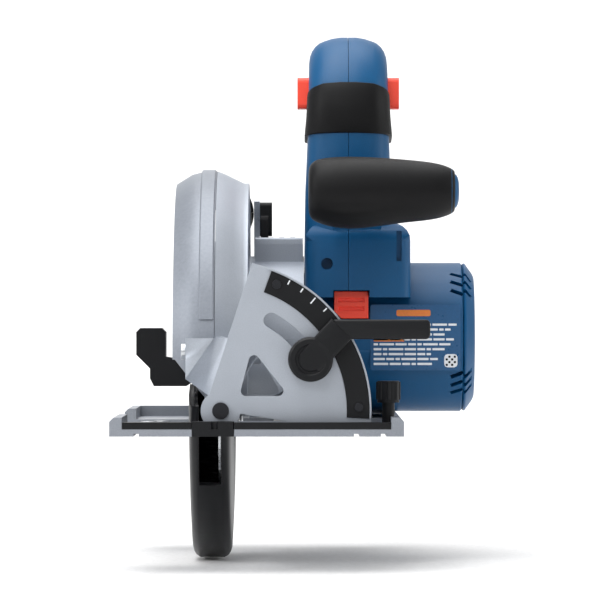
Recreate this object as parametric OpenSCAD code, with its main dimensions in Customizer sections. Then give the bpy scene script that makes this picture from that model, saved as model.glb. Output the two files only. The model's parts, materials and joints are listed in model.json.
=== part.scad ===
// Cordless circular saw with a guide-rail base plate.
// Origin: centre of the base plate's sole. +Z up, -Y forward (cutting direction), +X towards the motor.

/* [Base plate] */
// Length of the base plate, front to back
base_len = 280; // [250:1:340]
// Width of the base plate
base_w = 140; // [132:1:180]
// Thickness of the sole
sole_t = 3.4; // [2.5:0.1:5]
// Height of the side lips above the sole face
lip_h = 9; // [7:0.5:12]
// Width of the guide-rail grooves under the sole
groove_w = 2.6; // [1.5:0.1:4]

/* [Blade] */
// Blade diameter
blade_d = 165; // [150:1:190]
// Greatest depth of cut, square to the work
cut_depth = 53; // [45:0.5:60]
// Thickness of the blade body
blade_t = 1.8; // [1.2:0.1:2.2]
// Number of teeth
teeth = 24; // [18:2:40]
// Radius of the blade's arbor hole
arbor_r = 7.95; // [6:0.05:10]
// Distance of the blade plane from the base's centre line
blade_x = -18.5; // [-22:0.5:-16]

/* [Guards] */
// Gap between the teeth and the outside of the lower guard
guard_gap = 11.5; // [9:0.5:14]
// How far the lower guard retracts, in degrees
guard_travel = 150; // [100:5:150]
// Wall of the lower guard
guard_wall = 2.4; // [1.8:0.1:2.6]

/* [Bevel and depth] */
// Largest bevel angle
bevel_max = 50; // [30:1:50]
// Radius of the bevel clamp's arc
bevel_r = 49.5; // [46:0.5:52]
// Outer radius of the bevel quadrant
quadrant_r = 72; // [66:0.5:76]
// Largest swing of the saw on its depth pivot, in degrees
depth_max = 25.5; // [18:0.5:25.5]
// Centre radius of the depth arc, about the depth pivot
depth_r = 176; // [174:0.5:186]

/* [Drive] */
// Teeth of the drive gear on the spindle
gear_teeth = 38; // [34:1:40]
// Teeth of the motor pinion
pinion_teeth = 9; // [8:1:11]
// Gear module
gear_m = 1; // [0.9:0.05:1.1]
// Radius of the motor housing
motor_r = 37.5; // [34:0.5:40]
// Length of the motor housing and its end cap
motor_len = 85.5; // [70:0.5:95]

/* [Handles] */
// Height of the main handle's top above the sole
handle_top = 194.5; // [180:0.5:210]
// Width of the main handle
handle_w = 39.4; // [34:0.2:44]
// Length of the front handle's grip
front_grip_len = 70; // [60:1:80]
// Radius of the front handle's grip
front_grip_r = 17; // [15:0.5:18]

/* [Hidden] */
$fn = 96;
e = 0.01;          // overshoot of a cut
fit = 0.05;        // radial running clearance
gap = 0.3;         // clearance between faces that move past each other
hair = 0.03;       // step that keeps a round end from being tangent to a flat side

// Main axes
arbor_z = blade_d / 2 - cut_depth;
guard_r = blade_d / 2 + guard_gap;
shell_r = guard_r + 6;
bevel_x = blade_x + 1.2;
bevel_z = 12;
pivot_y = -(shell_r + 8);
pivot_z = arbor_z + 10.5;
pivot_r = 3;
pivot_head_r = 4;
lug_r = 6.5;
barrel_r = 6;
centre_d = gear_m * (gear_teeth + pinion_teeth) / 2;
motor_y = centre_d * sin(44.6);
motor_z = arbor_z + centre_d * cos(44.6);

// Base plate
base_x = base_w / 2;
base_y = max(base_len / 2, shell_r + 40);
lip_w = 5;
slot_left = blade_x - 17.5;
slot_right = blade_x + 25.5;
slot_front = -(guard_r + 1);
slot_back = guard_r + 3;
strip_z = sole_t + 3.3;
strip_d = 9;
knob_x = base_x - 7;
knob_y = -base_y + 30;
insert_x = [blade_x - 12.3, blade_x + 7.9];
insert_back = slot_front - 10;

// Lower guard and its lever
guard_x = [blade_x - 15.5, blade_x + 6.1];
guard_start = 190;
rim_start = 216;
guard_end = 362;
hub_r = 24;
lever_y = [34, 54];
lever_z = [21, 50.6];
lever_x = blade_x - 44.5;
arm_proud = 0.4;

// Upper guard and casting
cover_x = blade_x - 22.7;
seam_x = blade_x - 2.3;
wall_x = blade_x + 10.5;
case_x = wall_x + 3;
motor_x = case_x + 27.5;
case_r = motor_r + 3.3;
case_bottom = sole_t + 3.8;

// Bevel quadrant, bracket and clamp, front to back
quad_y = [-(base_y - 12), -(base_y - 22)];
bracket_y = [quad_y[1] + gap, quad_y[1] + gap + 3];
bolt_a = 29.8;
bolt_ratio = 0.61;
bolt_r = 3.4;
slot_half = bolt_r + gap;
bolt_x = bevel_x + bevel_r * cos(bolt_a);
bolt_z = bevel_z + bevel_r * sin(bolt_a);
rear_y = base_y - 15;

// Depth arc
arc_a0 = -1.5;
arc_x = [wall_x + 4.9, wall_x + 7.8];
arc_r = max(depth_r, shell_r + 76);
lock_y = pivot_y + arc_r * cos(arc_a0);
lock_z = pivot_z + arc_r * sin(arc_a0);

// Handles
handle_x = motor_x + 22.3;
grip_z = handle_top - 18.5;
front_y = -75;
front_z = 118;
front_x = motor_x + 2;
shell_t = 3;

// ---- helpers: shapes named by the axis they run along -------------------------------------------

module xcyl(x0, x1, y, z, r) { translate([x0, y, z]) rotate([0, 90, 0]) cylinder(h = x1 - x0, r = r); }
module ycyl(y0, y1, x, z, r) { translate([x, y0, z]) rotate([-90, 0, 0]) cylinder(h = y1 - y0, r = r); }
module zcyl(z0, z1, x, y, r) { translate([x, y, z0]) cylinder(h = z1 - z0, r = r); }
module block(x, y, z) { translate([x[0], y[0], z[0]]) cube([x[1] - x[0], y[1] - y[0], z[1] - z[0]]); }

// Extrude a [y, z] outline along X, or an [x, z] outline along Y
module xplate(x0, x1) { translate([x0, 0, 0]) rotate([90, 0, 90]) linear_extrude(x1 - x0) children(); }
module yplate(y0, y1) { translate([0, y1, 0]) rotate([90, 0, 0]) linear_extrude(y1 - y0) children(); }

// A lathed shape about an axis along X: the outline is [radius, x]
module xlathe(y, z, a0 = 0, a = 360) {
    translate([0, y, z]) rotate([90, 0, 90]) rotate([0, 0, a0]) rotate_extrude(angle = a) children();
}

// A wedge of a disc between two angles, as an outline
module wedge(r, a0, a1) {
    n = ceil((a1 - a0) / 60);
    polygon(concat([[0, 0]], [for (i = [0:n]) let (a = a0 + (a1 - a0) * i / n) 2 * r * [cos(a), sin(a)]]));
}
module ring_sector(r0, r1, a0, a1) {
    intersection() {
        difference() { circle(r1); circle(r0); }
        wedge(r1, a0, a1);
    }
}
// An arc slot with round ends
module arc_slot(r, half, a0, a1) {
    ring_sector(r - half, r + half, a0, a1);
    for (a = [a0, a1]) translate(r * [cos(a), sin(a)]) circle(half + hair);
}
// A straight bar with round ends; its sides stand a hair inside the ends, so no two surfaces are tangent
module bar(p, q, r) {
    d = q - p;
    half = r - hair;
    translate(p) circle(r);
    translate(q) circle(r);
    translate(p) rotate(atan2(d[1], d[0])) translate([0, -half]) square([norm(d), 2 * half]);
}
// A rectangle with round corners
module rounded(x0, x1, y0, y1, r) {
    translate([x0 + r, y0]) square([x1 - x0 - 2 * r, y1 - y0]);
    translate([x0, y0 + r]) square([x1 - x0, y1 - y0 - 2 * r]);
    for (x = [x0 + r, x1 - r], y = [y0 + r, y1 - r]) translate([x, y]) circle(r - hair);
}

// ---- base plate and what is fixed to it ---------------------------------------------------------

deck_screw_places = [[-base_x + 18, -base_y + 22], [-base_x + 24, -base_y + 34], [base_x - 34, base_y - 30]];

module base_plate() {
    color("#8e9299") difference() {
        union() {
            block([-base_x, base_x], [-base_y, base_y], [0, sole_t]);
            for (s = [-1, 1]) intersection() {
                block([s > 0 ? base_x - lip_w - 1 : -base_x, s > 0 ? base_x : -base_x + lip_w + 1],
                      [-base_y, base_y], [0, lip_h]);
                // chamfered top outer edge
                yplate(-base_y, base_y) polygon([[-base_x, 0], [base_x, 0], [base_x, lip_h - 2],
                                                 [base_x - 2, lip_h], [-base_x + 2, lip_h], [-base_x, lip_h - 2]]);
            }
            block([-base_x + lip_w, base_x - lip_w], [base_y - lip_w, base_y], [0, lip_h]);
            // deck ribs on the motor side
            for (x = [slot_right + 8, base_x - 22]) block([x, x + 3], [-base_y + 24, base_y - lip_w], [0, sole_t + 3.2]);
            for (y = [slot_front - 4, 0, slot_back + 4]) block([slot_right + 8, base_x - lip_w], [y, y + 3], [0, sole_t + 2.2]);
        }
        // slot for the blade and the lower guard
        block([slot_left, slot_right], [slot_front, slot_back], [-e, lip_h + e]);
        // relief that the guard's lever swings through at large bevels
        block([-base_x - e, slot_left + e], [-lever_y[1] - 10, lever_y[1] + 10], [-e, lip_h + e]);
        // cut-line insert's opening, grooves for a guide rail
        block(insert_x, [-base_y - e, insert_back], [-e, lip_h]);
        for (x = [-base_x + 12.8, base_x - 22.5, base_x - 9.7])
            block([x - groove_w / 2, x + groove_w / 2], [-base_y - e, base_y + e], [-e, 1.3]);
        // hollow under the motor, and the fence knob's
        xcyl(slot_right + 4, base_x + e, motor_y, motor_z, motor_r + 1);
        zcyl(sole_t, lip_h + e, knob_x, knob_y, 6.5);
        // seats for the screws
        for (p = deck_screw_places) zcyl(-e, sole_t + 4, p[0], p[1], 2.05);
    }
}

module guide_strip() {
    y = [-base_y, -base_y + strip_d];
    color("#1d1d20") difference() {
        for (x = [[-base_x + lip_w + 1.1, insert_x[0] - 0.1], [insert_x[1] + 0.1, base_x - lip_w - 1.1]])
            block(x, y, [sole_t, strip_z]);
        // thumb notch and the fence's clamp seat
        zcyl(sole_t + 0.8, strip_z + e, base_x - 14, y[0] + strip_d / 2, 3);
    }
}

module cut_line_insert() {
    x = [insert_x[0] + 0.1, insert_x[1] - 0.1];
    color("#17171a") difference() {
        union() {
            block(x, [-base_y, insert_back - 0.1], [0, sole_t]);
            block(x, [-base_y, quad_y[0] - 1.7], [0, sole_t + 3.7]);
        }
        // the cut mark in line with the blade, and a second one for a full bevel
        for (dx = [1.5, 12]) zcyl(sole_t, sole_t + 3.8, blade_x + dx - 3, -base_y, 1.6);
    }
}

// The quadrant's foot screws, and the places where the scale band is held
foot_screws = [bevel_x + 3, bevel_x + 52];
scale_r = quadrant_r - 6;
scale_a = [1.5, 66];

module bevel_quadrant() {
    color("#9da2aa") difference() {
        union() {
            yplate(quad_y[0], quad_y[1]) difference() {
                intersection() {
                    translate([bevel_x, bevel_z]) union() {
                        wedge(quadrant_r, -9, 72);
                        circle(9.5);
                        rotate(72) translate([0, -e]) square([quadrant_r, 7.5]);
                    }
                    translate([bevel_x, bevel_z]) circle(quadrant_r);
                    translate([-base_x, sole_t]) square([base_w, quadrant_r + 20]);
                }
                // slot that the clamp bolt runs in
                translate([bevel_x, bevel_z]) arc_slot(bevel_r, slot_half, bolt_a, bolt_a + bevel_max * bolt_ratio + 0.3);
                // window
                translate([bevel_x, bevel_z]) hull() {
                    for (p = [[16, 24], [12.2, 9.5], [27.5, 9.5]]) translate(p) circle(2.5, $fn = 32);
                }
            }
            // rim flange, thinner than the plate
            yplate(quad_y[0] - 1.2, quad_y[0] + 1) translate([bevel_x, bevel_z])
                ring_sector(quadrant_r - 0.9, quadrant_r, -3, 72);
            // foot
            block([bevel_x - 8, bevel_x + 60], [quad_y[0], quad_y[1]], [sole_t, sole_t + 3.5]);
        }
        ycyl(quad_y[0] - 1, quad_y[1] + 1, bevel_x, bevel_z, 2.52);
        for (x = foot_screws) zcyl(sole_t - 1, sole_t + 2.2, x, (quad_y[0] + quad_y[1]) / 2, 1.5);
        for (a = scale_a) ycyl(quad_y[0] - e, quad_y[0] + 4, bevel_x + scale_r * cos(a), bevel_z + scale_r * sin(a), 1.2);
    }
}

module bevel_scale_band() {
    color("#1b1b1e") difference() {
        yplate(quad_y[0] - 1, quad_y[0]) translate([bevel_x, bevel_z])
            ring_sector(quadrant_r - 11.8, quadrant_r - 1, -3, 70);
        for (a = scale_a) ycyl(quad_y[0] - 2, quad_y[0] + 1, bevel_x + scale_r * cos(a), bevel_z + scale_r * sin(a), 1.4);
    }
}

module quadrant_screws() {
    color("#2a2b2e") for (a = scale_a) {
        x = bevel_x + scale_r * cos(a);
        z = bevel_z + scale_r * sin(a);
        ycyl(quad_y[0] - 2, quad_y[0] - 1, x, z, 2.2);
        ycyl(quad_y[0] - 1 - e, quad_y[0] + 4, x, z, 1.2);
    }
}

module bevel_pivot_pins() {
    color("#1a1a1c") {
        ycyl(quad_y[0] - 1.6, quad_y[0], bevel_x, bevel_z, 4);
        ycyl(quad_y[0] - e, bracket_y[1] + 1, bevel_x, bevel_z, 2.5);
        ycyl(rear_y - 6, rear_y + 5.8, bevel_x, bevel_z, 2.5);
        ycyl(rear_y + 5, rear_y + 6.5, bevel_x, bevel_z, 4);
    }
}

module rear_bevel_bracket() {
    color("#9da2aa") difference() {
        union() {
            yplate(rear_y, rear_y + 5) union() {
                translate([bevel_x, bevel_z]) circle(8);
                polygon([[bevel_x - 14, sole_t], [bevel_x - 7, bevel_z + 3], [bevel_x + 7, bevel_z + 3], [bevel_x + 20, sole_t]]);
            }
            block([bevel_x - 14, bevel_x + 20], [rear_y - 6, rear_y + 5], [sole_t, sole_t + 2.4]);
        }
        ycyl(rear_y - 1, rear_y + 6, bevel_x, bevel_z, 2.52);
        block([-base_x, base_x], [rear_y - 7, rear_y + 10], [-20, sole_t]);
        block([bevel_x - 8.6, bevel_x + 8.6], [rear_y - 7, rear_y], [sole_t - 1, sole_t + 3]);
    }
}

module deck_screws() {
    color("#c3c6cb") for (p = deck_screw_places) {
        zcyl(sole_t, sole_t + 1, p[0], p[1], 4.6);
        zcyl(sole_t + 1 - e, sole_t + 3.4, p[0], p[1], 3.8);
        zcyl(1.6, sole_t + 1, p[0], p[1], 2);
    }
}

// ---- tilting frame: front bracket, depth pivot, depth arc ---------------------------------------

lug_x = [[blade_x - 15.8, blade_x - 12.6], [blade_x + 20.5, blade_x + 23.7]];

module front_bracket() {
    color("#8f949c") difference() {
        union() {
            yplate(bracket_y[0], bracket_y[1]) difference() {
                union() {
                    bar([bevel_x, bevel_z], [bevel_x, pivot_z], 7.4);
                    polygon([[bevel_x - 7.4, bevel_z], [bevel_x - 8, bevel_z + 8.6], [lug_x[0][0], bevel_z + 15],
                             [lug_x[0][0], pivot_z + lug_r], [lug_x[1][1], pivot_z + lug_r],
                             [bolt_x, bolt_z + 9], [bolt_x + 13, bolt_z], [bolt_x + 13, bevel_z + 4], [bevel_x, bevel_z - 4]]);
                    translate([bolt_x, bolt_z]) circle(9);
                }
                translate([bevel_x, bevel_z])
                    arc_slot(bevel_r, slot_half, bolt_a - bevel_max * (1 - bolt_ratio) - 0.3, bolt_a);
            }
            for (x = lug_x) {
                xcyl(x[0], x[1], pivot_y, pivot_z, lug_r);
                block(x, [bracket_y[0], pivot_y], [pivot_z - lug_r, pivot_z + lug_r]);
            }
        }
        ycyl(bracket_y[0] - 1, bracket_y[1] + 1, bevel_x, bevel_z, 2.5 + fit);
        xcyl(lug_x[0][0] - 1, lug_x[1][1] + 1, pivot_y, pivot_z, pivot_r);
    }
}

module depth_pivot_pin() {
    color("#b9bdc4") {
        xcyl(lug_x[0][0] - 2.3, lug_x[0][0], pivot_y, pivot_z, pivot_head_r);
        xcyl(lug_x[0][0] - e, lug_x[1][1] + 2, pivot_y, pivot_z, pivot_r);
        xcyl(lug_x[1][1], lug_x[1][1] + 2, pivot_y, pivot_z, pivot_head_r);
    }
}

module depth_arc() {
    foot_y = rear_y - 3.4;
    end_a = arc_a0 + depth_max + 2.3;
    color("#c4c7cc") {
        xplate(arc_x[0], arc_x[1]) difference() {
            union() {
                translate([pivot_y, pivot_z]) ring_sector(arc_r - 6, arc_r + 6, arc_a0 - 3, end_a);
                polygon([[lock_y - 7, lock_z - 7], [lock_y + 7, lock_z + 2], [foot_y, 20], [foot_y, 8], [lock_y + 10, 10]]);
            }
            translate([pivot_y, pivot_z]) arc_slot(arc_r, 2.5 + gap, arc_a0, arc_a0 + depth_max + 0.2);
        }
        // foot bent across to the rear bevel pin
        yplate(foot_y - 3, foot_y) difference() {
            union() {
                bar([bevel_x, bevel_z], [arc_x[0] - 6, bevel_z + 1], 7);
                translate([arc_x[0] - 7, 8]) square([arc_x[1] - arc_x[0] + 7, 12]);
            }
            translate([bevel_x, bevel_z]) circle(2.5 + fit);
        }
    }
}

// ---- bevel clamp --------------------------------------------------------------------------------

module bevel_bolt() {
    color("#b4b8bf") difference() {
        union() {
            ycyl(quad_y[0] - 9.5, bracket_y[1] + 7, bolt_x, bolt_z, bolt_r);
            // washer under the lever, then the nut behind the bracket
            ycyl(quad_y[0] - 1.5, quad_y[0] - 0.3, bolt_x, bolt_z, 6.6);
            translate([bolt_x, bracket_y[1] + gap, bolt_z]) rotate([-90, 0, 0]) cylinder(h = 5, r = 7, $fn = 6);
        }
        ycyl(quad_y[0] - 10, quad_y[0] - 7.5, bolt_x, bolt_z, 1.8);
    }
}

module bevel_lever() {
    hub_y = [quad_y[0] - 10, quad_y[0] - 1.7];
    arm_y = [quad_y[0] - 10, quad_y[0] - 2.5];
    color("#1c1c1f") difference() {
        union() {
            ycyl(hub_y[0], hub_y[1], bolt_x, bolt_z, 10.8);
            yplate(arm_y[0], arm_y[1]) {
                bar([bolt_x + 2, bolt_z + 2], [bolt_x + 13, bolt_z + 13], 6);
                bar([bolt_x + 13, bolt_z + 14.2], [bolt_x + 52.3, bolt_z + 14.2], 4.6);
            }
        }
        ycyl(hub_y[0] - 1, hub_y[1] + 1, bolt_x, bolt_z, bolt_r + fit);
        ycyl(hub_y[0] - 1, hub_y[0] + 0.8, bolt_x, bolt_z, 6.2);
    }
}

// ---- upper guard, casting and gear case ---------------------------------------------------------

// Everything below the guard's sloping lower edge
module below_guard() {
    yplate(-shell_r - 20, shell_r + 20)
        polygon([[cover_x - 20, -shell_r], [cover_x - 20, arbor_z + 6.5], [cover_x + 1.2, arbor_z + 6.5],
                 [cover_x + 15.2, arbor_z - 11], [case_x + 40, arbor_z - 11], [case_x + 40, -shell_r]]);
}

dust_z = arbor_z + 80.5;
dust_x = blade_x - 2.6;
dust_r = 17.5;

module upper_guard_cover() {
    w = 2.5;
    color("#b9bec6") difference() {
        xlathe(0, arbor_z, -8, 196) polygon([
            [62, cover_x], [shell_r - 6.5, cover_x], [shell_r - 1.7, cover_x + 7.7], [shell_r, cover_x + 14.2],
            [shell_r, seam_x - 0.1], [shell_r - 3.2, seam_x - 0.1], [shell_r - 3.2, cover_x + 14.2],
            [shell_r - 4.7, cover_x + 8.6], [shell_r - 9, cover_x + w], [62, cover_x + w]]);
        below_guard();
        ycyl(30, shell_r + 10, dust_x, dust_z, dust_r - 2.5);
    }
}

module upper_guard_housing() {
    color("#a9aeb6") difference() {
        union() {
            difference() {
                xlathe(0, arbor_z, -8, 196) polygon([
                    [27, wall_x], [shell_r - 8, wall_x], [shell_r - 5.5, wall_x - 4], [shell_r - 4.4, wall_x - 9],
                    [shell_r - 3.2, seam_x + 0.1], [shell_r, seam_x + 0.1], [shell_r - 1.4, seam_x + 3.8],
                    [shell_r - 6, wall_x + 0.5], [shell_r - 6, case_x], [27, case_x]]);
                below_guard();
            }
            // wall behind the gears, boss of the spindle bearing and of the lower guard
            xplate(wall_x, case_x) intersection() {
                union() {
                    translate([0, arbor_z]) circle(27.5);
                    translate([motor_y, motor_z]) circle(case_r);
                }
                translate([-100, case_bottom]) square(200);
            }
            xcyl(wall_x - 8.6, case_x, 0, arbor_z, hub_r);
            xcyl(wall_x, case_x + 2.5, 0, arbor_z, 17.6);
            // barrel of the depth pivot and its arm
            xcyl(lug_x[0][1] + gap, lug_x[1][0] - gap, pivot_y, pivot_z, barrel_r);
            block([seam_x + 0.3, wall_x - 2.6], [pivot_y, -shell_r + 2.8], [pivot_z - 5, pivot_z + 5.5]);
            // post that holds the depth-lock screw
            xcyl(wall_x, arc_x[0] - gap, lock_y, lock_z, 8);
            block([wall_x, case_x], [50, lock_y], [lock_z - 8, lock_z + 8]);
        }
        // bore for the spindle bearing, counterbore for the inner flange, groove for the ring
        xcyl(wall_x - 4, case_x + 3, 0, arbor_z, 16);
        xcyl(wall_x - 9, wall_x - 4 + e, 0, arbor_z, 20.4);
        xlathe(0, arbor_z) translate([hub_r - 0.8, wall_x - 8.2]) square([2, 1.1]);
        xcyl(lug_x[0][0], lug_x[1][1], pivot_y, pivot_z, pivot_r + fit);
        xcyl(wall_x - 1, arc_x[0] + 1, lock_y, lock_z, 2.52);
        // screw holes for the gear case, way to the dust port
        for (p = case_screws) xcyl(wall_x - 1, case_x + 1, p[0], p[1], 1.7);
        ycyl(30, shell_r + 10, dust_x, dust_z, dust_r - 2.5);
    }
}

// Places of the gear case's screws, on a circle about the motor axis
case_screws = [for (a = [15, 75, 150]) [motor_y + (case_r - 4) * cos(a), motor_z + (case_r - 4) * sin(a)]];

module gear_case() {
    wall = 3;
    x0 = case_x + 0.05;
    color("#9fa4ac") difference() {
        union() {
            difference() {
                xplate(x0, motor_x) intersection() {
                    union() {
                        translate([motor_y, motor_z]) circle(case_r);
                        translate([0, arbor_z]) circle(27);
                    }
                    translate([-100, case_bottom]) square(200);
                }
                xplate(x0 - 1, motor_x - wall) intersection() {
                    union() {
                        translate([motor_y, motor_z]) circle(case_r - wall);
                        translate([0, arbor_z]) circle(24.4);
                    }
                    translate([-100, case_bottom + 1.4]) square(200);
                }
            }
            // cooling ribs on top
            block([x0 + 3, motor_x - 0.5], [motor_y - 15, motor_y + 15], [motor_z + case_r - 4, motor_z + case_r + 6]);
            for (i = [0:3]) block([x0 + 4 + 5.5 * i, x0 + 6.5 + 5.5 * i], [motor_y - 14, motor_y + 14],
                                  [motor_z + case_r + 5, motor_z + case_r + 9.4]);
            // screw pillars, seat of the spindle's rear bearing
            for (p = case_screws) xcyl(x0, motor_x - wall + 1, p[0], p[1], 3.8);
            xcyl(case_x + 15.9, motor_x - 1, 0, arbor_z, 16);
        }
        xcyl(case_x + 15, case_x + 24.05, 0, arbor_z, 13);
        xcyl(case_x + 10, motor_x + 1, motor_y, motor_z, 4.6);
        for (p = case_screws) xcyl(x0 - 1, motor_x - wall - 2, p[0], p[1], 1.5);
    }
}

module gear_case_screws() {
    color("#2b2c2f") for (p = case_screws) {
        xcyl(wall_x - 1.8, wall_x, p[0], p[1], 3);
        xcyl(wall_x - e, motor_x - 6, p[0], p[1], 1.5);
    }
}

module dust_port() {
    color("#1f2023") difference() {
        ycyl(30, shell_r - 5, dust_x, dust_z, dust_r);
        ycyl(29, shell_r, dust_x, dust_z, dust_r - 2.3);
        xcyl(cover_x - 10, case_x + 20, 0, arbor_z, shell_r + 0.1);
        // the side that would meet the ribbed top of the gear case
        block([case_x + 0.4, case_x + 40], [0, 80], [0, dust_z]);
    }
}

// Outer race, balls and inner race of a deep-groove bearing along X
module bearing(x0, x1, y, z, r0, r1) {
    m = (r0 + r1) / 2;
    t = (r1 - r0) * 0.28;
    color("#d4d6d9") difference() {
        xcyl(x0, x1, y, z, r1);
        xcyl(x0 - 1, x1 + 1, y, z, r0);
        xlathe(y, z) for (x = [x0 - 1, x1 - 1]) translate([m - (r1 - r0) / 2 + t, x]) square([r1 - r0 - 2 * t, 2]);
    }
}

module spindle_bearings() {
    bearing(wall_x - 3.9, wall_x + 5.1, 0, arbor_z, 7.5 + fit / 2, 16);
    bearing(case_x + 16, case_x + 24, 0, arbor_z, 5 + fit / 2, 13);
}

module guard_retaining_ring() {
    color("#cfd1d4") xplate(wall_x - 8.1, wall_x - 7.2) translate([0, arbor_z]) difference() {
        circle(hub_r + 2.6);
        circle(hub_r - 0.8);
        // the open mouth of the ring
        rotate(90) translate([0, -3]) square([40, 6]);
    }
}

module guard_return_spring() {
    color("#c9ccd0") for (i = [0, 1]) xlathe(0, arbor_z) translate([hub_r + 1.2, wall_x - 2.2 + i * 1.4]) circle(0.6, $fn = 24);
}

// ---- motor --------------------------------------------------------------------------------------

cap_len = 6;
cap_x = motor_x + motor_len - cap_len;
stator_r = motor_r - 7.5;
rotor_r = 17;

module motor_tube(x0, x1, r, wall) {
    difference() {
        xcyl(x0, x1, motor_y, motor_z, r);
        xcyl(x0 - 1, x1 + 1, motor_y, motor_z, r - wall);
    }
}

lock_x = [motor_x + 15, motor_x + 32];
lock_button_z = [motor_z + 9.5, motor_z + 23];
lock_button_y = -26;

module motor_housing() {
    x0 = motor_x + 0.1;
    color("#0e5c90") difference() {
        union() {
            motor_tube(x0, cap_x, motor_r, 2.6);
            // spider of the front bearing
            difference() {
                xcyl(x0, x0 + 8, motor_y, motor_z, motor_r - 1);
                xcyl(x0 + 2.5, x0 + 9, motor_y, motor_z, motor_r - 3);
            }
            motor_tube(x0, x0 + 8, 14, 3);
            // ring that holds the stator
            for (a = [0:90:270]) xplate(x0 + 12, x0 + 58) translate([motor_y, motor_z])
                rotate(a + 45) translate([stator_r + 0.05, -3]) square([motor_r - stator_r - 1.5, 6]);
        }
        xcyl(x0 - 1, x0 + 3, motor_y, motor_z, 6);
        xcyl(x0 + 1, x0 + 9, motor_y, motor_z, 11);
        // window of the spindle lock
        block([lock_x[0] - 0.4, lock_x[1] + 0.4], [-60, motor_y - 20], [lock_button_z[0] - 0.4, lock_button_z[1] + 0.4]);
        // slanted air slots near the cap, above and below
        for (s = [-1, 1], i = [0:2]) translate([cap_x - 8, motor_y, motor_z]) rotate([s * (50 + 13 * i) - 90, 0, 0])
            translate([0, 0, motor_r]) rotate([0, 0, 20]) cube([13, 3, 12], center = true);
    }
}

module motor_end_cap() {
    color("#0b4f7e") difference() {
        xlathe(motor_y, motor_z) polygon([[0, cap_x + cap_len], [motor_r - 7, cap_x + cap_len], [motor_r - 1, cap_x + cap_len - 5],
                                          [motor_r, cap_x + 0.2], [motor_r - 3, cap_x + 0.2], [motor_r - 5, cap_x + 2.6],
                                          [13.9, cap_x + 2.6], [13.9, cap_x - 4], [11, cap_x - 4], [11, cap_x + 3.2], [0, cap_x + 3.2]]);
        for (a = [0:45:315]) xplate(cap_x - 1, cap_x + cap_len + 1) translate([motor_y, motor_z])
            rotate(a) translate([17, -1.6]) square([10, 3.2]);
    }
}

module label_plate() {
    color("#0a4d7b") xplate(cap_x - 46, cap_x - 1) translate([motor_y, motor_z]) ring_sector(motor_r + e, motor_r + 0.5, 148, 212);
}

module stator() {
    slots = 12;
    color("#7d7f84") xplate(motor_x + 20, motor_x + 52) translate([motor_y, motor_z]) difference() {
        circle(stator_r);
        circle(rotor_r + 0.6);
        for (i = [0:slots - 1]) rotate(i * 360 / slots) translate([rotor_r + 2.5, -2.6]) square([7.5, 5.2]);
    }
}

module rotor_core() {
    color("#5f6166") difference() {
        xcyl(motor_x + 20, motor_x + 52, motor_y, motor_z, rotor_r);
        xcyl(motor_x + 19, motor_x + 53, motor_y, motor_z, 5);
    }
}

// A spur gear's outline: straight-flanked teeth on the pitch circle
module gear_outline(n, m) {
    r = m * n / 2;
    circle(r - 1.2 * m);
    for (i = [0:n - 1]) rotate(i * 360 / n)
        polygon([[r - 1.4 * m, -0.92 * m], [r, -0.70 * m], [r + 0.9 * m, -0.32 * m],
                 [r + 0.9 * m, 0.32 * m], [r, 0.70 * m], [r - 1.4 * m, 0.92 * m]]);
}

mesh_a = atan2(motor_z - arbor_z, motor_y);
gear_x = [case_x + 4, case_x + 13];

module rotor_shaft() {
    color("#caccd0") {
        xcyl(gear_x[1], motor_x + 3, motor_y, motor_z, 3.4);
        xcyl(motor_x + 3, motor_x + 12, motor_y, motor_z, 4);
        xcyl(motor_x + 12, motor_x + 62, motor_y, motor_z, 5);
        xcyl(motor_x + 62, cap_x + 2.5, motor_y, motor_z, 4);
        xplate(gear_x[0] - 0.5, gear_x[1] + 0.5) translate([motor_y, motor_z])
            rotate(mesh_a + 180 + 180 / pinion_teeth) gear_outline(pinion_teeth, gear_m);
    }
}

module motor_bearings() {
    bearing(motor_x + 3.2, motor_x + 8, motor_y, motor_z, 4 + fit / 2, 11);
    bearing(cap_x - 3.9, cap_x + 3.1, motor_y, motor_z, 4 + fit / 2, 11);
}

module cooling_fan() {
    x = [motor_x + 64, motor_x + 67];
    color("#2a2b2e") {
        difference() {
            union() {
                xcyl(x[0], x[0] + 1.6, motor_y, motor_z, motor_r - 6);
                xcyl(x[0], x[0] + 6, motor_y, motor_z, 7);
                for (i = [0:10]) xplate(x[0], x[0] + 6) translate([motor_y, motor_z])
                    rotate(i * 360 / 11) translate([14, 0]) rotate(18) square([motor_r - 22, 1.4]);
            }
            xcyl(x[0] - 1, x[0] + 8, motor_y, motor_z, 4);
        }
    }
}

// ---- main handle --------------------------------------------------------------------------------

// Side outline of the handle and its foot, grown by g
module handle_side(g = 0) {
    front_foot = [-6, motor_z + 46];
    neck = [-14, grip_z - 26];
    crown = [-6, grip_z];
    grip_mid = [60, grip_z - 8];
    heel = [112, grip_z - 48];
    rear_foot = [118, motor_z + 46];
    bar(front_foot, neck, 17 + g);
    bar(neck, crown, 18 + g);
    bar(crown, grip_mid, 18.5 + g);
    bar(grip_mid, heel, 18.5 + g);
    bar(heel, rear_foot, 15 + g);
    bar(front_foot + [0, -6], rear_foot + [-4, 0], 12 + g);
    bar([-10, front_z - 8], [-30, front_z - 6], 13 + g);
    translate([-20 - g, motor_z + 20]) square([52 + 2 * g, 30]);
}
// Front outline: the grip above, the wider body below
module handle_front(g = 0) {
    rounded(handle_x - handle_w / 2 - g, handle_x + handle_w / 2 + g, motor_z + 20, handle_top + g, 10);
    rounded(motor_x + 0.6 - g, handle_x + 21.1 + g, motor_z + 20, grip_z - 29, 4);
    rounded(motor_x + 0.6 - g, handle_x + 30.6 + g, motor_z + 20, motor_z + 58 + g, 4);
}
module handle_form(g = 0) {
    intersection() {
        xplate(0, 140) handle_side(g);
        yplate(-80, 160) handle_front(g);
    }
}

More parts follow.
